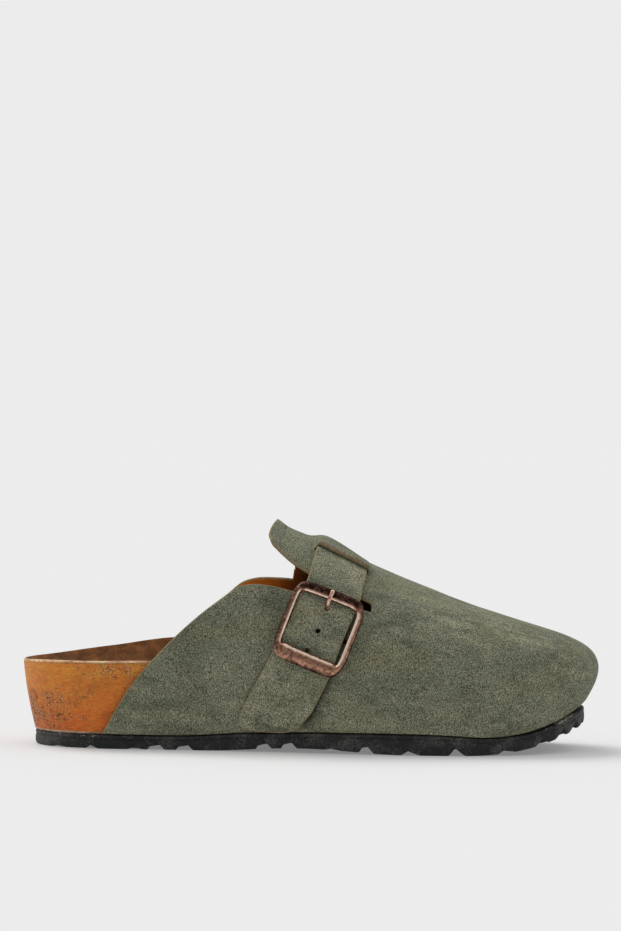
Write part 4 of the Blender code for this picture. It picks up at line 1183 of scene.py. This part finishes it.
def build_strap(settings):
    """The strap as a wall of leather with rounded cut edges and its punched holes."""
    sizes = settings.sizes
    points, quads, normals = strap_sheet()
    push = STRAP_UNEVEN * wave(points, STRAP_UNEVEN_SIZE)
    wall, bulge = in_mm(sizes.strap_wall), in_mm(sizes.strap_round)
    walls, faces, finishes, source = walled(points, quads, normals, push, push + wall, bulge)
    skins = [nubuck_material(settings), nubuck_material(settings), cut_edge_material(settings)]
    turn, rise = math.sin(BUCKLE_TILT), math.cos(BUCKLE_TILT)
    x, height = points[:, 0] - BUCKLE_X, points[:, 2] - BUCKLE_HEIGHT
    across, along = x * rise - height * turn, x * turn + height * rise
    inside = FRAME_HALF_WIDTH - 0.5 * SIDE_BAR
    # Painted shade on the strap just inside the frame's front bar
    dirt_and_painted_shade = BAR_SHADE * np.exp(-(((across - inside) / BAR_SHADE_WIDTH) ** 2))
    dirt_and_painted_shade = dirt_and_painted_shade * fade(np.abs(along), *BAR_SHADE_END)
    marks = {"wear_and_painted_light": np.full(len(source), STRAP_WEAR), "dirt_and_painted_shade": dirt_and_painted_shade[source]}
    piece = add_piece("strap_leather", walls, faces, finishes, skins, marks)
    for k, (across, along) in enumerate(STRAP_HOLES):
        punch(piece, across, along, PRONG_HOLE_RADIUS if k == 0 else in_mm(sizes.hole_radius))
    hand_over(piece, "strap")


def ring_stations():
    """Stations and sides once round the feather line, evenly spaced, from the heel by the outer side."""
    turn = np.linspace(0.0, np.pi, RING_STEPS)
    x = 0.5 * (FEATHER_HEEL_X + FEATHER_TOE_X) - 0.5 * (FEATHER_TOE_X - FEATHER_HEEL_X) * np.cos(turn)
    run = np.append(0.0, np.cumsum(np.hypot(np.diff(x), np.diff(half_width(x)))))
    along = np.interp(np.linspace(0.0, run[-1], RING_POINTS), run, x)
    along[0], along[-1] = FEATHER_HEEL_X, FEATHER_TOE_X
    return np.append(along, along[-2:0:-1]), np.append(-np.ones(RING_POINTS), np.ones(RING_POINTS - 2))


def rim_heights(x, side):
    outer, inner = read(FOOTBED, "outer_rim", x), read(FOOTBED, "inner_rim", x)
    return HEEL_RIM_HEIGHT * np.where(side < 0, outer, inner)


def rim_points(x, side):
    """Ribs round the shoe, and the t and the points of the footbed's rim on them."""
    lines = ribs(x, side)
    t = at_height(lines, rim_heights(x, side))
    return lines, t, on_ribs(lines, t)


def footbed_rings(shares):
    """Rings of the footbed's top, from the rim (share 1) in to the middle line (share 0)."""
    x, side = ring_stations()
    _, _, rim = rim_points(x, side)
    pole = np.clip(x, HEEL_POLE_X, TOE_POLE_X)
    middle = np.stack([pole, read(PLAN, "drift", pole), read(FOOTBED, "seat", pole)], axis=-1)
    rings = []
    for share in shares:
        ring = middle + (rim - middle) * share
        seat = read(FOOTBED, "seat", ring[:, 0])
        ring[:, 2] = seat + (rim[:, 2] - seat) * share**CUP_POWER
        rings.append(ring)
    return rings


def lofted(rings):
    """Points and quads between closed rings of as many points each, with coinciding points made one."""
    return welded(np.vstack(rings), grid_quads(len(rings), len(rings[0]), closed=True))


def build_cork(settings):
    """The cork block with its footbed on top, pitted where it shows, and the glue bead under it."""
    x, side = ring_stations()
    lines, top, rim = rim_points(x, side)
    pole = np.clip(x, HEEL_POLE_X, TOE_POLE_X)
    base = np.stack([pole, read(PLAN, "drift", pole), feather_height(pole)], axis=-1)
    rings = []
    for share in CORK_BASE_SHARES:
        ring = base + (lines[0] - base) * share
        ring[:, 2] = feather_height(ring[:, 0]) - GLUE_DROP
        rings.append(ring)
    side_shares = (*CORK_FOOT_SHARES, *np.linspace(0.03, 1.0, CORK_ROWS))
    rings += [on_ribs(lines, top * share) for share in side_shares]
    rings += footbed_rings(CORK_TOP_SHARES)
    points, quads, _ = lofted(rings)
    normals = vertex_normals(points, quads)
    at, height = points[:, 0], points[:, 2]
    bare = fade(height - feather_height(at), *CORK_FOOT)
    bare = bare * fade(height, rim[:, 2].min() + CORK_OVER_RIM, CORK_RIM_FADE)
    heel = fade(at, *CORK_BARE_X)
    rough = fade(at, *ROUGH_X) * fade(height, *ROUGH_HEIGHT)
    crackle = fade(at, *CRACKLE_X) * fade(height, *CRACKLE_HEIGHT)
    coarse = PIT_COARSE_SHARE * wave(points, PIT_COARSE)
    fine = PIT_FINE_SHARE * wave(points + PIT_FINE_SHIFT, PIT_FINE)
    broken = np.clip((coarse + fine - PIT_START) / PIT_FADE, 0.0, 1.0)
    broken = broken * (PIT_ELSEWHERE + rough) * bare * heel
    depth = in_mm(settings.sizes.cork_pit)
    push = -depth * broken + CORK_UNEVEN * wave(points, CORK_UNEVEN_SIZE) * bare * heel
    steep = np.abs(normals[:, 2]) < PIT_STEEPNESS
    points = points + normals * (push * steep)[:, None]
    above = points[:, 2] - feather_height(points[:, 0])
    finishes = (above[quads].mean(axis=1) < GLUE_HEIGHT).astype(int)
    marks = {"pit": np.clip(broken, 0.0, 1.0) * steep, "rough": rough * bare, "crackle": crackle}
    skins = [cork_material(settings), glue_material(settings)]
    piece = add_piece("cork_body", points, as_faces(quads), finishes, skins, marks)
    hand_over(piece, "cork_footbed")


def build_lining(settings):
    """The suede insole, which follows the footbed and has a pale cut edge along the rim."""
    points, quads, _ = lofted(footbed_rings(LINING_SHARES))
    normals = vertex_normals(points, quads)
    if normals[:, 2].sum() < 0:
        quads, normals = quads[:, ::-1], -normals
    wall = in_mm(settings.sizes.lining_wall)
    high = GAP + wall + SUEDE_UNEVEN * wave(points, SUEDE_UNEVEN_SIZE)
    walls, faces, finishes, _ = walled(points, quads, normals, 0.0, high, SUEDE_ROUND)
    tones = settings.colours
    suede = suede_material(settings, "suede_split_brushed", tuple(tones.footbed_suede))
    edge = suede_material(settings, "suede_cut_edge", tuple(tones.suede_edge))
    piece = add_piece("footbed_suede", walls, faces, finishes, [suede, suede, edge], {})
    hand_over(piece, "footbed_lining")


def sole_proud(x):
    """How far the outsole stands out past the feather line."""
    upper = np.clip((x - UPPER_REAR_X) / SOLE_PROUD_FADE + 1.0, 0.0, 1.0)
    proud = SOLE_PROUD_HEEL + upper * (SOLE_PROUD_UPPER - SOLE_PROUD_HEEL)
    return proud + toe_share(x) * (SOLE_PROUD_TOE - SOLE_PROUD_UPPER)


def tread_ground(x):
    """Height of the lugs' undersides."""
    return sole_lift(x) - SOLE_TOE_EXTRA * toe_share(x) ** SPRING_POWER


def notch(distance, depth, mouth):
    """Depth of a groove at this distance from its crest, steep on one side and sloping on the other."""
    reach = mouth * np.where(distance < 0, NOTCH_STEEP, NOTCH_SLOPE)
    return depth * np.clip(1.0 - np.abs(distance) / reach, 0.0, 1.0) ** NOTCH_POWER


def tread_depth(points, across, run, toe_run):
    """Depth of the tread on a ring of the underside: grooves across the sole and notches round the toe."""
    x = points[:, 0]
    from_ends = np.minimum(x - FEATHER_HEEL_X - BOW_HEEL_GAP, FEATHER_TOE_X - BOW_TOE_GAP - x)
    bow = GROOVE_BOW * (1.0 - across**2) ** BOW_POWER * np.clip(from_ends / BOW_FADE, 0.0, 1.0)
    bowed = x - bow
    depth = np.zeros(len(points))
    for middle, deep, mouth in zip(GROOVES["x"], GROOVES["depth"], GROOVES["mouth"]):
        edge_only = 1.0 if deep > SCALLOP_DEPTH else fade(across, *SCALLOP_EDGE)
        depth = np.maximum(depth, edge_only * notch(bowed - middle, deep, mouth))
    outer_edge = fade(across, *TOE_NOTCH_EDGE)
    for place, deep, mouth in zip(toe_run, TOE_NOTCHES["depth"], TOE_NOTCHES["mouth"]):
        depth = np.maximum(depth, outer_edge * notch(run - place, deep, mouth))
    return depth


def build_outsole(settings):
    """The moulded sole, ring by ring from its top over its side to the tread."""
    x, side = ring_stations()
    edge = np.stack([x, read(PLAN, "drift", x) + side * half_width(x)], axis=-1)
    ahead = np.roll(edge, -1, axis=0) - np.roll(edge, 1, axis=0)
    out = unit(np.stack([ahead[:, 1], -ahead[:, 0]], axis=-1))
    step = np.hypot(*np.diff(np.append(edge, edge[:1], axis=0), axis=0).T)
    run = np.append(0.0, np.cumsum(step[:-1]))
    from_tip = np.abs(run - run[RING_POINTS - 1])
    outer = slice(0, RING_POINTS)
    toe_run = np.interp(TOE_NOTCHES["x"], x[outer], from_tip[outer])
    top, ground = sole_top(x), tread_ground(x)
    pole = np.clip(x, HEEL_POLE_X, TOE_POLE_X)
    middle = np.stack([pole, read(PLAN, "drift", pole)], axis=-1)

    def ring(inset, heights):
        return np.column_stack([edge + out * (sole_proud(x) - inset)[:, None], heights])

    rings = []
    for share in SOLE_TOP_SHARES:
        flat = middle + (edge - middle) * share
        rings.append(np.column_stack([flat, sole_top(flat[:, 0])]))
    for drop, inset in zip(SOLE_SIDE["drop"], SOLE_SIDE["inset"]):
        rings.append(ring(inset, top - drop))
    under = ring(SOLE_FOOT["inset"][-1], ground)
    foot = ground + tread_depth(under, np.ones(len(x)), from_tip, toe_run)
    side_low = top - SOLE_SIDE["drop"][-1]
    for share, inset in zip(SOLE_FOOT["share"], SOLE_FOOT["inset"]):
        rings.append(ring(inset, foot + share * (side_low - foot)))
    for share in TREAD_SHARES:
        flat = middle + (under[:, :2] - middle) * share
        bottom = np.column_stack([flat, np.zeros(len(x))])
        across = np.full(len(x), share)
        bottom[:, 2] = tread_ground(flat[:, 0]) + tread_depth(bottom, across, from_tip, toe_run)
        rings.append(bottom)
    points, quads, _ = lofted(rings)
    at = points[:, 0]
    rim = fade(points[:, 2] - sole_top(at), *CRUMB_DROP)
    patchy = np.clip(CRUMB_EVEN + CRUMB_UNEVEN * wave(points, CRUMB_PATCH), 0.0, 1.0)
    glue = rim * patchy * (fade(at, *CRUMB_TOE_X) + CRUMB_HEEL * fade(at, *CRUMB_HEEL_X))
    finishes = np.zeros(len(quads), int)
    skins = [sole_material(settings)]
    piece = add_piece("sole_moulded", points, as_faces(quads), finishes, skins, {"glue": glue})
    hand_over(piece, "outsole")


def swept(path, normals, wides, thicks, square=2.0, closed=False):
    """Points, quads and edge marks of a bar along a path: thick along the normals and wide across them.

    The section is a rounded oblong: the higher square is, the flatter its faces.
    """
    before, after = np.roll(path, 1, axis=0), np.roll(path, -1, axis=0)
    if not closed:
        before[0], after[-1] = path[0], path[-1]
    along = unit(after - before)
    off = unit(normals - along * np.sum(normals * along, axis=1)[:, None])
    across = np.cross(along, off)
    angles = 2 * np.pi * (np.arange(BAR_SIDES) + 0.5) / BAR_SIDES
    round_to = np.sign(np.cos(angles)) * np.abs(np.cos(angles)) ** (2 / square)
    rise_to = np.sign(np.sin(angles)) * np.abs(np.sin(angles)) ** (2 / square)
    wide = across[:, None] * round_to[None, :, None] * np.asarray(wides)[:, None, None]
    thick = off[:, None] * rise_to[None, :, None] * np.asarray(thicks)[:, None, None]
    rings = path[:, None] + wide + thick
    points = rings.reshape(-1, 3)
    rows = len(path)
    quads = grid_quads(rows, BAR_SIDES, closed=True)
    if closed:
        last = (rows - 1) * BAR_SIDES + np.arange(BAR_SIDES)
        first = np.arange(BAR_SIDES)
        quads = np.vstack([quads, np.stack([last, np.roll(last, -1), np.roll(first, -1), first], axis=-1)])
    return points, quads, np.tile(angles, rows)


def frame_line():
    """Middle line of the frame's bars: an oblong with bowed sides, as places across and along."""
    angles = 2 * np.pi * np.arange(FRAME_STEPS) / FRAME_STEPS
    turn, rise = np.cos(angles), np.sin(angles)
    wide, tall = np.abs(turn) / FRAME_HALF_WIDTH, np.abs(rise) / FRAME_HALF_LENGTH
    reach = (wide**FRAME_SQUARE + tall**FRAME_SQUARE) ** (-1 / FRAME_SQUARE)
    return reach * turn, reach * rise


def capped(points, quads):
    """Faces of an open swept bar with its two ends filled."""
    count = len(points)
    return as_faces(quads) + [tuple(range(BAR_SIDES))[::-1], tuple(range(count - BAR_SIDES, count))]


def frame_rub_and_painted_light(across, along, end, wides, angles):
    """How far the patina is rubbed off, with painted light laid over it: rubbed inner edges that carry a
    painted highlight, painted reflections on the bars' faces, painted shade along the outer edges, and a
    painted highlight on one corner's outer edge.
    """
    front = fade(across, *FRONT_BAR) * (1 - end)
    # Rubbed bright inner edges, which also carry a painted highlight
    narrow = INNER_EDGE_WIDTH * SIDE_BAR / (2 * wides) * (1 + INNER_EDGE_FRONT * front)
    inner_edge = np.exp(-(((angles - INNER_EDGE_ANGLE) / np.repeat(narrow, BAR_SIDES)) ** 2))
    tops, lows, rears = end * (along > 0), end * (along < 0), (1 - end) * (across < 0)
    # Painted reflections: the faces of the low, front and rear bars are made brighter and the top bar's
    # darker
    bars = LOW_FACE_REFLECTION * lows + FRONT_FACE_REFLECTION * front + REAR_FACE_REFLECTION * rears + TOP_FACE_REFLECTION * tops
    face = np.clip(np.sin(angles), 0.0, 1.0) * np.repeat(bars, BAR_SIDES)
    corner = fade(np.abs(across) / FRAME_HALF_WIDTH, *CORNERS)
    corner = corner * fade(np.minimum(np.abs(along) / FRAME_HALF_LENGTH, 1.0), *CORNERS)
    inner_edge *= np.repeat(1 - CORNER_PATINA * corner, BAR_SIDES)
    # Painted shade along the bars' outer edges
    outer_edge = np.exp(-((np.minimum(angles, 2 * np.pi - angles) / OUTER_EDGE_WIDTH) ** 2))
    # Painted highlight on the outer edge round one corner
    from_glint = (across - GLINT_ACROSS) ** 2 + (along - GLINT_ALONG) ** 2
    glinting = np.repeat(np.exp(-from_glint / GLINT_SPREAD), BAR_SIDES)
    rub_and_painted_light = FRAME_RUB + INNER_EDGE_RUB_AND_HIGHLIGHT * inner_edge + face + (GLINT_HIGHLIGHT * glinting + OUTER_EDGE_SHADE) * outer_edge
    return np.clip(rub_and_painted_light, RUB_AND_LIGHT_LEAST, RUB_AND_LIGHT_MOST)


def build_frame(settings):
    """The buckle's cast frame with wide end bars, and the centre bar under the strap."""
    across, along = frame_line()
    reach = np.minimum(np.abs(along) / FRAME_HALF_LENGTH, 1.0)
    path, normals = on_buckle(across, along, SIDE_BAR_LIFT + reach**3 * (FRAME_LIFT - SIDE_BAR_LIFT))
    end = ease((reach - END_BAR_START) / END_BAR_BLEND)
    end_bar = np.where(along > 0, TOP_BAR, LOW_BAR)
    wides = 0.5 * (SIDE_BAR + end * (end_bar - SIDE_BAR))
    thicks = np.full(len(path), 0.5 * FRAME_THICKNESS)
    points, quads, angles = swept(path, normals, wides, thicks, square=FRAME_SECTION, closed=True)
    rub_and_painted_light = frame_rub_and_painted_light(across, along, end, wides, angles)
    faces = as_faces(quads)
    share = np.linspace(-1.0, 1.0, CENTRE_BAR_STEPS)
    climb = fade(np.abs(share), *CENTRE_BAR_END)
    bar_lift = CENTRE_BAR_LIFT + climb * (SIDE_BAR_LIFT - CENTRE_BAR_LIFT)
    bar_path, _ = on_buckle(share * FRAME_HALF_WIDTH, 0.0, bar_lift)
    (low, high), _ = on_buckle(0.0, (-4.0, 4.0), CENTRE_BAR_LIFT)
    radii = np.full(len(bar_path), CENTRE_BAR_RADIUS)
    upward = np.tile(high - low, (len(bar_path), 1))
    bar_points, bar_quads, _ = swept(bar_path, upward, radii, radii)
    faces += [tuple(v + len(points) for v in face) for face in capped(bar_points, bar_quads)]
    rub_and_painted_light = np.append(rub_and_painted_light, np.zeros(len(bar_points)))
    points = np.vstack([points, bar_points])
    skins = [copper_material(settings)]
    piece = add_piece("buckle_frame_cast", points, faces, [0] * len(faces), skins, {"rub_and_painted_light": rub_and_painted_light})
    hand_over(piece, "buckle_frame")


def build_prong(settings):
    """The prong, a bent wire with a blunt tip that lies on the top bar."""
    place = np.linspace(PRONG["x"][0], PRONG["x"][-1], PRONG_STEPS)
    path, normals = on_buckle(0.0, place, read(PRONG, "lift", place))
    to_tip = (place[-1] + PRONG_BLUNT - place) / PRONG_TIP
    radii = PRONG_RADIUS * np.sqrt(np.clip(to_tip, PRONG_BLUNT, 1.0))
    sideways = np.tile(np.cross(path[-1] - path[0], normals[0]), (len(path), 1))
    points, quads, angles = swept(path, sideways, radii, radii)
    # Rubbed bright, with a painted highlight on one side of the wire and painted shade on the other
    rub_and_painted_light = PRONG_RUB + PRONG_SIDE_LIGHT * np.sin(angles)
    faces = capped(points, quads)
    skins = [copper_material(settings)]
    piece = add_piece("buckle_prong_wire", points, faces, [0] * len(faces), skins, {"rub_and_painted_light": rub_and_painted_light})
    hand_over(piece, "buckle_prong")


def build_floor():
    """A plain pale sheet that reaches the horizon and glows a little: painted light that softens the shadow.
    """
    values = {"Roughness": 0.95, "Specular IOR Level": 0.0, "Emission Strength": FLOOR_GLOW}
    values |= {"Base Color": opaque(FLOOR_WHITE), "Emission Color": opaque((1.0, 1.0, 1.0))}
    made, *_ = new_material("floor_painted_glow", values)
    mesh = bpy.data.meshes.new("studio_floor")
    far = FLOOR_REACH
    corners = [(-far, -far, 0.0), (far, -far, 0.0), (far, far, 0.0), (-far, far, 0.0)]
    mesh.from_pydata(corners, [], [(0, 1, 2, 3)])
    mesh.materials.append(made)
    floor = bpy.data.objects.new("studio_floor", mesh)
    bpy.context.scene.collection.objects.link(floor)


def build_light(settings):
    """Soft light all round, brightest overhead and dim in front, with a wide key light from the left."""
    studio = settings.studio
    world = bpy.data.worlds.new("studio_light")
    bpy.context.scene.world = world
    world.use_nodes = True
    tree = world.node_tree
    tree.nodes.clear()
    nodes = Nodes(tree)
    way = add(tree, "ShaderNodeTexCoord").outputs["Generated"]
    way = add(tree, "ShaderNodeSeparateXYZ", {"Vector": way}).outputs
    overhead = nodes.ramp(way["Z"], (0.0, 0.60), (0.35, 0.62), (0.75, 0.80), (1.0, 0.95))
    behind = nodes.math("MULTIPLY_ADD", way["Y"], 0.5, 0.5)
    behind = nodes.ramp(behind, (0.0, 0.52), (0.5, 0.85), (1.0, 1.0))
    glow = nodes.mix(1.0, overhead, behind, "MULTIPLY")
    soft = add(tree, "ShaderNodeBackground", {"Color": glow, "Strength": studio.sky}).outputs[0]
    plain = {"Color": opaque(settings.colours.floor), "Strength": 1.0}
    plain = add(tree, "ShaderNodeBackground", plain).outputs[0]
    seen = add(tree, "ShaderNodeLightPath").outputs["Is Camera Ray"]
    mixed = add(tree, "ShaderNodeMixShader", {0: seen, 1: soft, 2: plain}).outputs[0]
    add(tree, "ShaderNodeOutputWorld", {"Surface": mixed})
    key = bpy.data.objects.new("key_light", bpy.data.lights.new("key_light", "SUN"))
    key.data.energy, key.data.angle = studio.key, studio.key_size
    key.rotation_mode = "QUATERNION"
    key.rotation_quaternion = KEY_FROM.to_track_quat("Z", "Y")
    bpy.context.scene.collection.objects.link(key)


def build_camera():
    """Camera at the photograph's angle: turned up so that the shoe stands where it does in the frame."""
    data = bpy.data.cameras.new("photo_camera")
    camera = bpy.data.objects.new("photo_camera", data)
    bpy.context.scene.collection.objects.link(camera)
    data.sensor_width = SENSOR_WIDTH
    data.lens = SENSOR_WIDTH * CAMERA_DISTANCE / (IMAGE_HEIGHT * METRES_PER_PIXEL)
    back = Vector((0.0, -math.cos(CAMERA_ELEVATION), math.sin(CAMERA_ELEVATION)))
    right = Vector((0.0, 0.0, 1.0)).cross(back).normalized()
    facing = Matrix((right, back.cross(right), back)).transposed()
    down = (AIM_PIXEL[1] - 0.5 * IMAGE_HEIGHT) * METRES_PER_PIXEL / CAMERA_DISTANCE
    left = (0.5 * IMAGE_WIDTH - AIM_PIXEL[0]) * METRES_PER_PIXEL / CAMERA_DISTANCE
    turned = Matrix.Rotation(CAMERA_ROLL, 3, "Z") @ Matrix.Rotation(math.atan(down), 3, "X")
    turned = turned @ Matrix.Rotation(-math.atan(left), 3, "Y")
    place = Matrix.Translation(CAMERA_AIM + back * CAMERA_DISTANCE)
    camera.matrix_world = place @ (facing @ turned).to_4x4()
    bpy.context.scene.camera = camera


class SLIPPER_OT_upper(Operator):
    """Builds the hollow upper with its lining, cut edges, slot and wrinkles"""

    bl_idname = "slipper.upper"
    bl_label = "Upper"

    def execute(self, context):
        build_upper(context.scene.slipper)
        return {"FINISHED"}


class SLIPPER_OT_strap(Operator):
    """Builds the strap with its cut edges and holes"""

    bl_idname = "slipper.strap"
    bl_label = "Strap"

    def execute(self, context):
        build_strap(context.scene.slipper)
        return {"FINISHED"}


class SLIPPER_OT_footbed(Operator):
    """Builds the cork body and the suede that lines it"""

    bl_idname = "slipper.footbed"
    bl_label = "Cork and suede"

    def execute(self, context):
        build_cork(context.scene.slipper)
        build_lining(context.scene.slipper)
        return {"FINISHED"}


class SLIPPER_OT_outsole(Operator):
    """Builds the moulded outsole with its tread"""

    bl_idname = "slipper.outsole"
    bl_label = "Outsole"

    def execute(self, context):
        build_outsole(context.scene.slipper)
        return {"FINISHED"}


class SLIPPER_OT_buckle(Operator):
    """Builds the buckle's frame and prong"""

    bl_idname = "slipper.buckle"
    bl_label = "Buckle"

    def execute(self, context):
        build_frame(context.scene.slipper)
        build_prong(context.scene.slipper)
        return {"FINISHED"}


class SLIPPER_OT_stage(Operator):
    """Builds the floor, the light and the camera"""

    bl_idname = "slipper.stage"
    bl_label = "Stage"

    def execute(self, context):
        build_floor()
        build_light(context.scene.slipper)
        build_camera()
        context.scene.view_settings.view_transform = "Standard"
        return {"FINISHED"}


OPERATORS = (
    SLIPPER_OT_outsole,
    SLIPPER_OT_footbed,
    SLIPPER_OT_upper,
    SLIPPER_OT_strap,
    SLIPPER_OT_buckle,
    SLIPPER_OT_stage,
)


class SLIPPER_PT_panel(Panel):
    """Sizes, colours and builders of the slipper"""

    bl_idname = "SLIPPER_PT_panel"
    bl_label = "Cork Sole Slipper"
    bl_space_type = "VIEW_3D"
    bl_region_type = "UI"
    bl_category = "Slipper"

    def draw(self, context):
        settings = context.scene.slipper
        for group in (settings.sizes, settings.colours, settings.studio):
            box = self.layout.box()
            for name in group.__annotations__:
                box.prop(group, name)
        for operator in OPERATORS:
            self.layout.operator(operator.bl_idname)


CLASSES = (SlipperColours, SlipperSizes, SlipperStudio, SlipperSettings, *OPERATORS, SLIPPER_PT_panel)


def register():
    for kind in CLASSES:
        bpy.utils.register_class(kind)
    bpy.types.Scene.slipper = PointerProperty(type=SlipperSettings)


def unregister():
    del bpy.types.Scene.slipper
    for kind in reversed(CLASSES):
        bpy.utils.unregister_class(kind)


def main():
    register()
    bpy.ops.slipper.outsole()
    bpy.ops.slipper.footbed()
    bpy.ops.slipper.upper()
    bpy.ops.slipper.strap()
    bpy.ops.slipper.buckle()
    bpy.ops.slipper.stage()


if __name__ == "__main__":
    main()
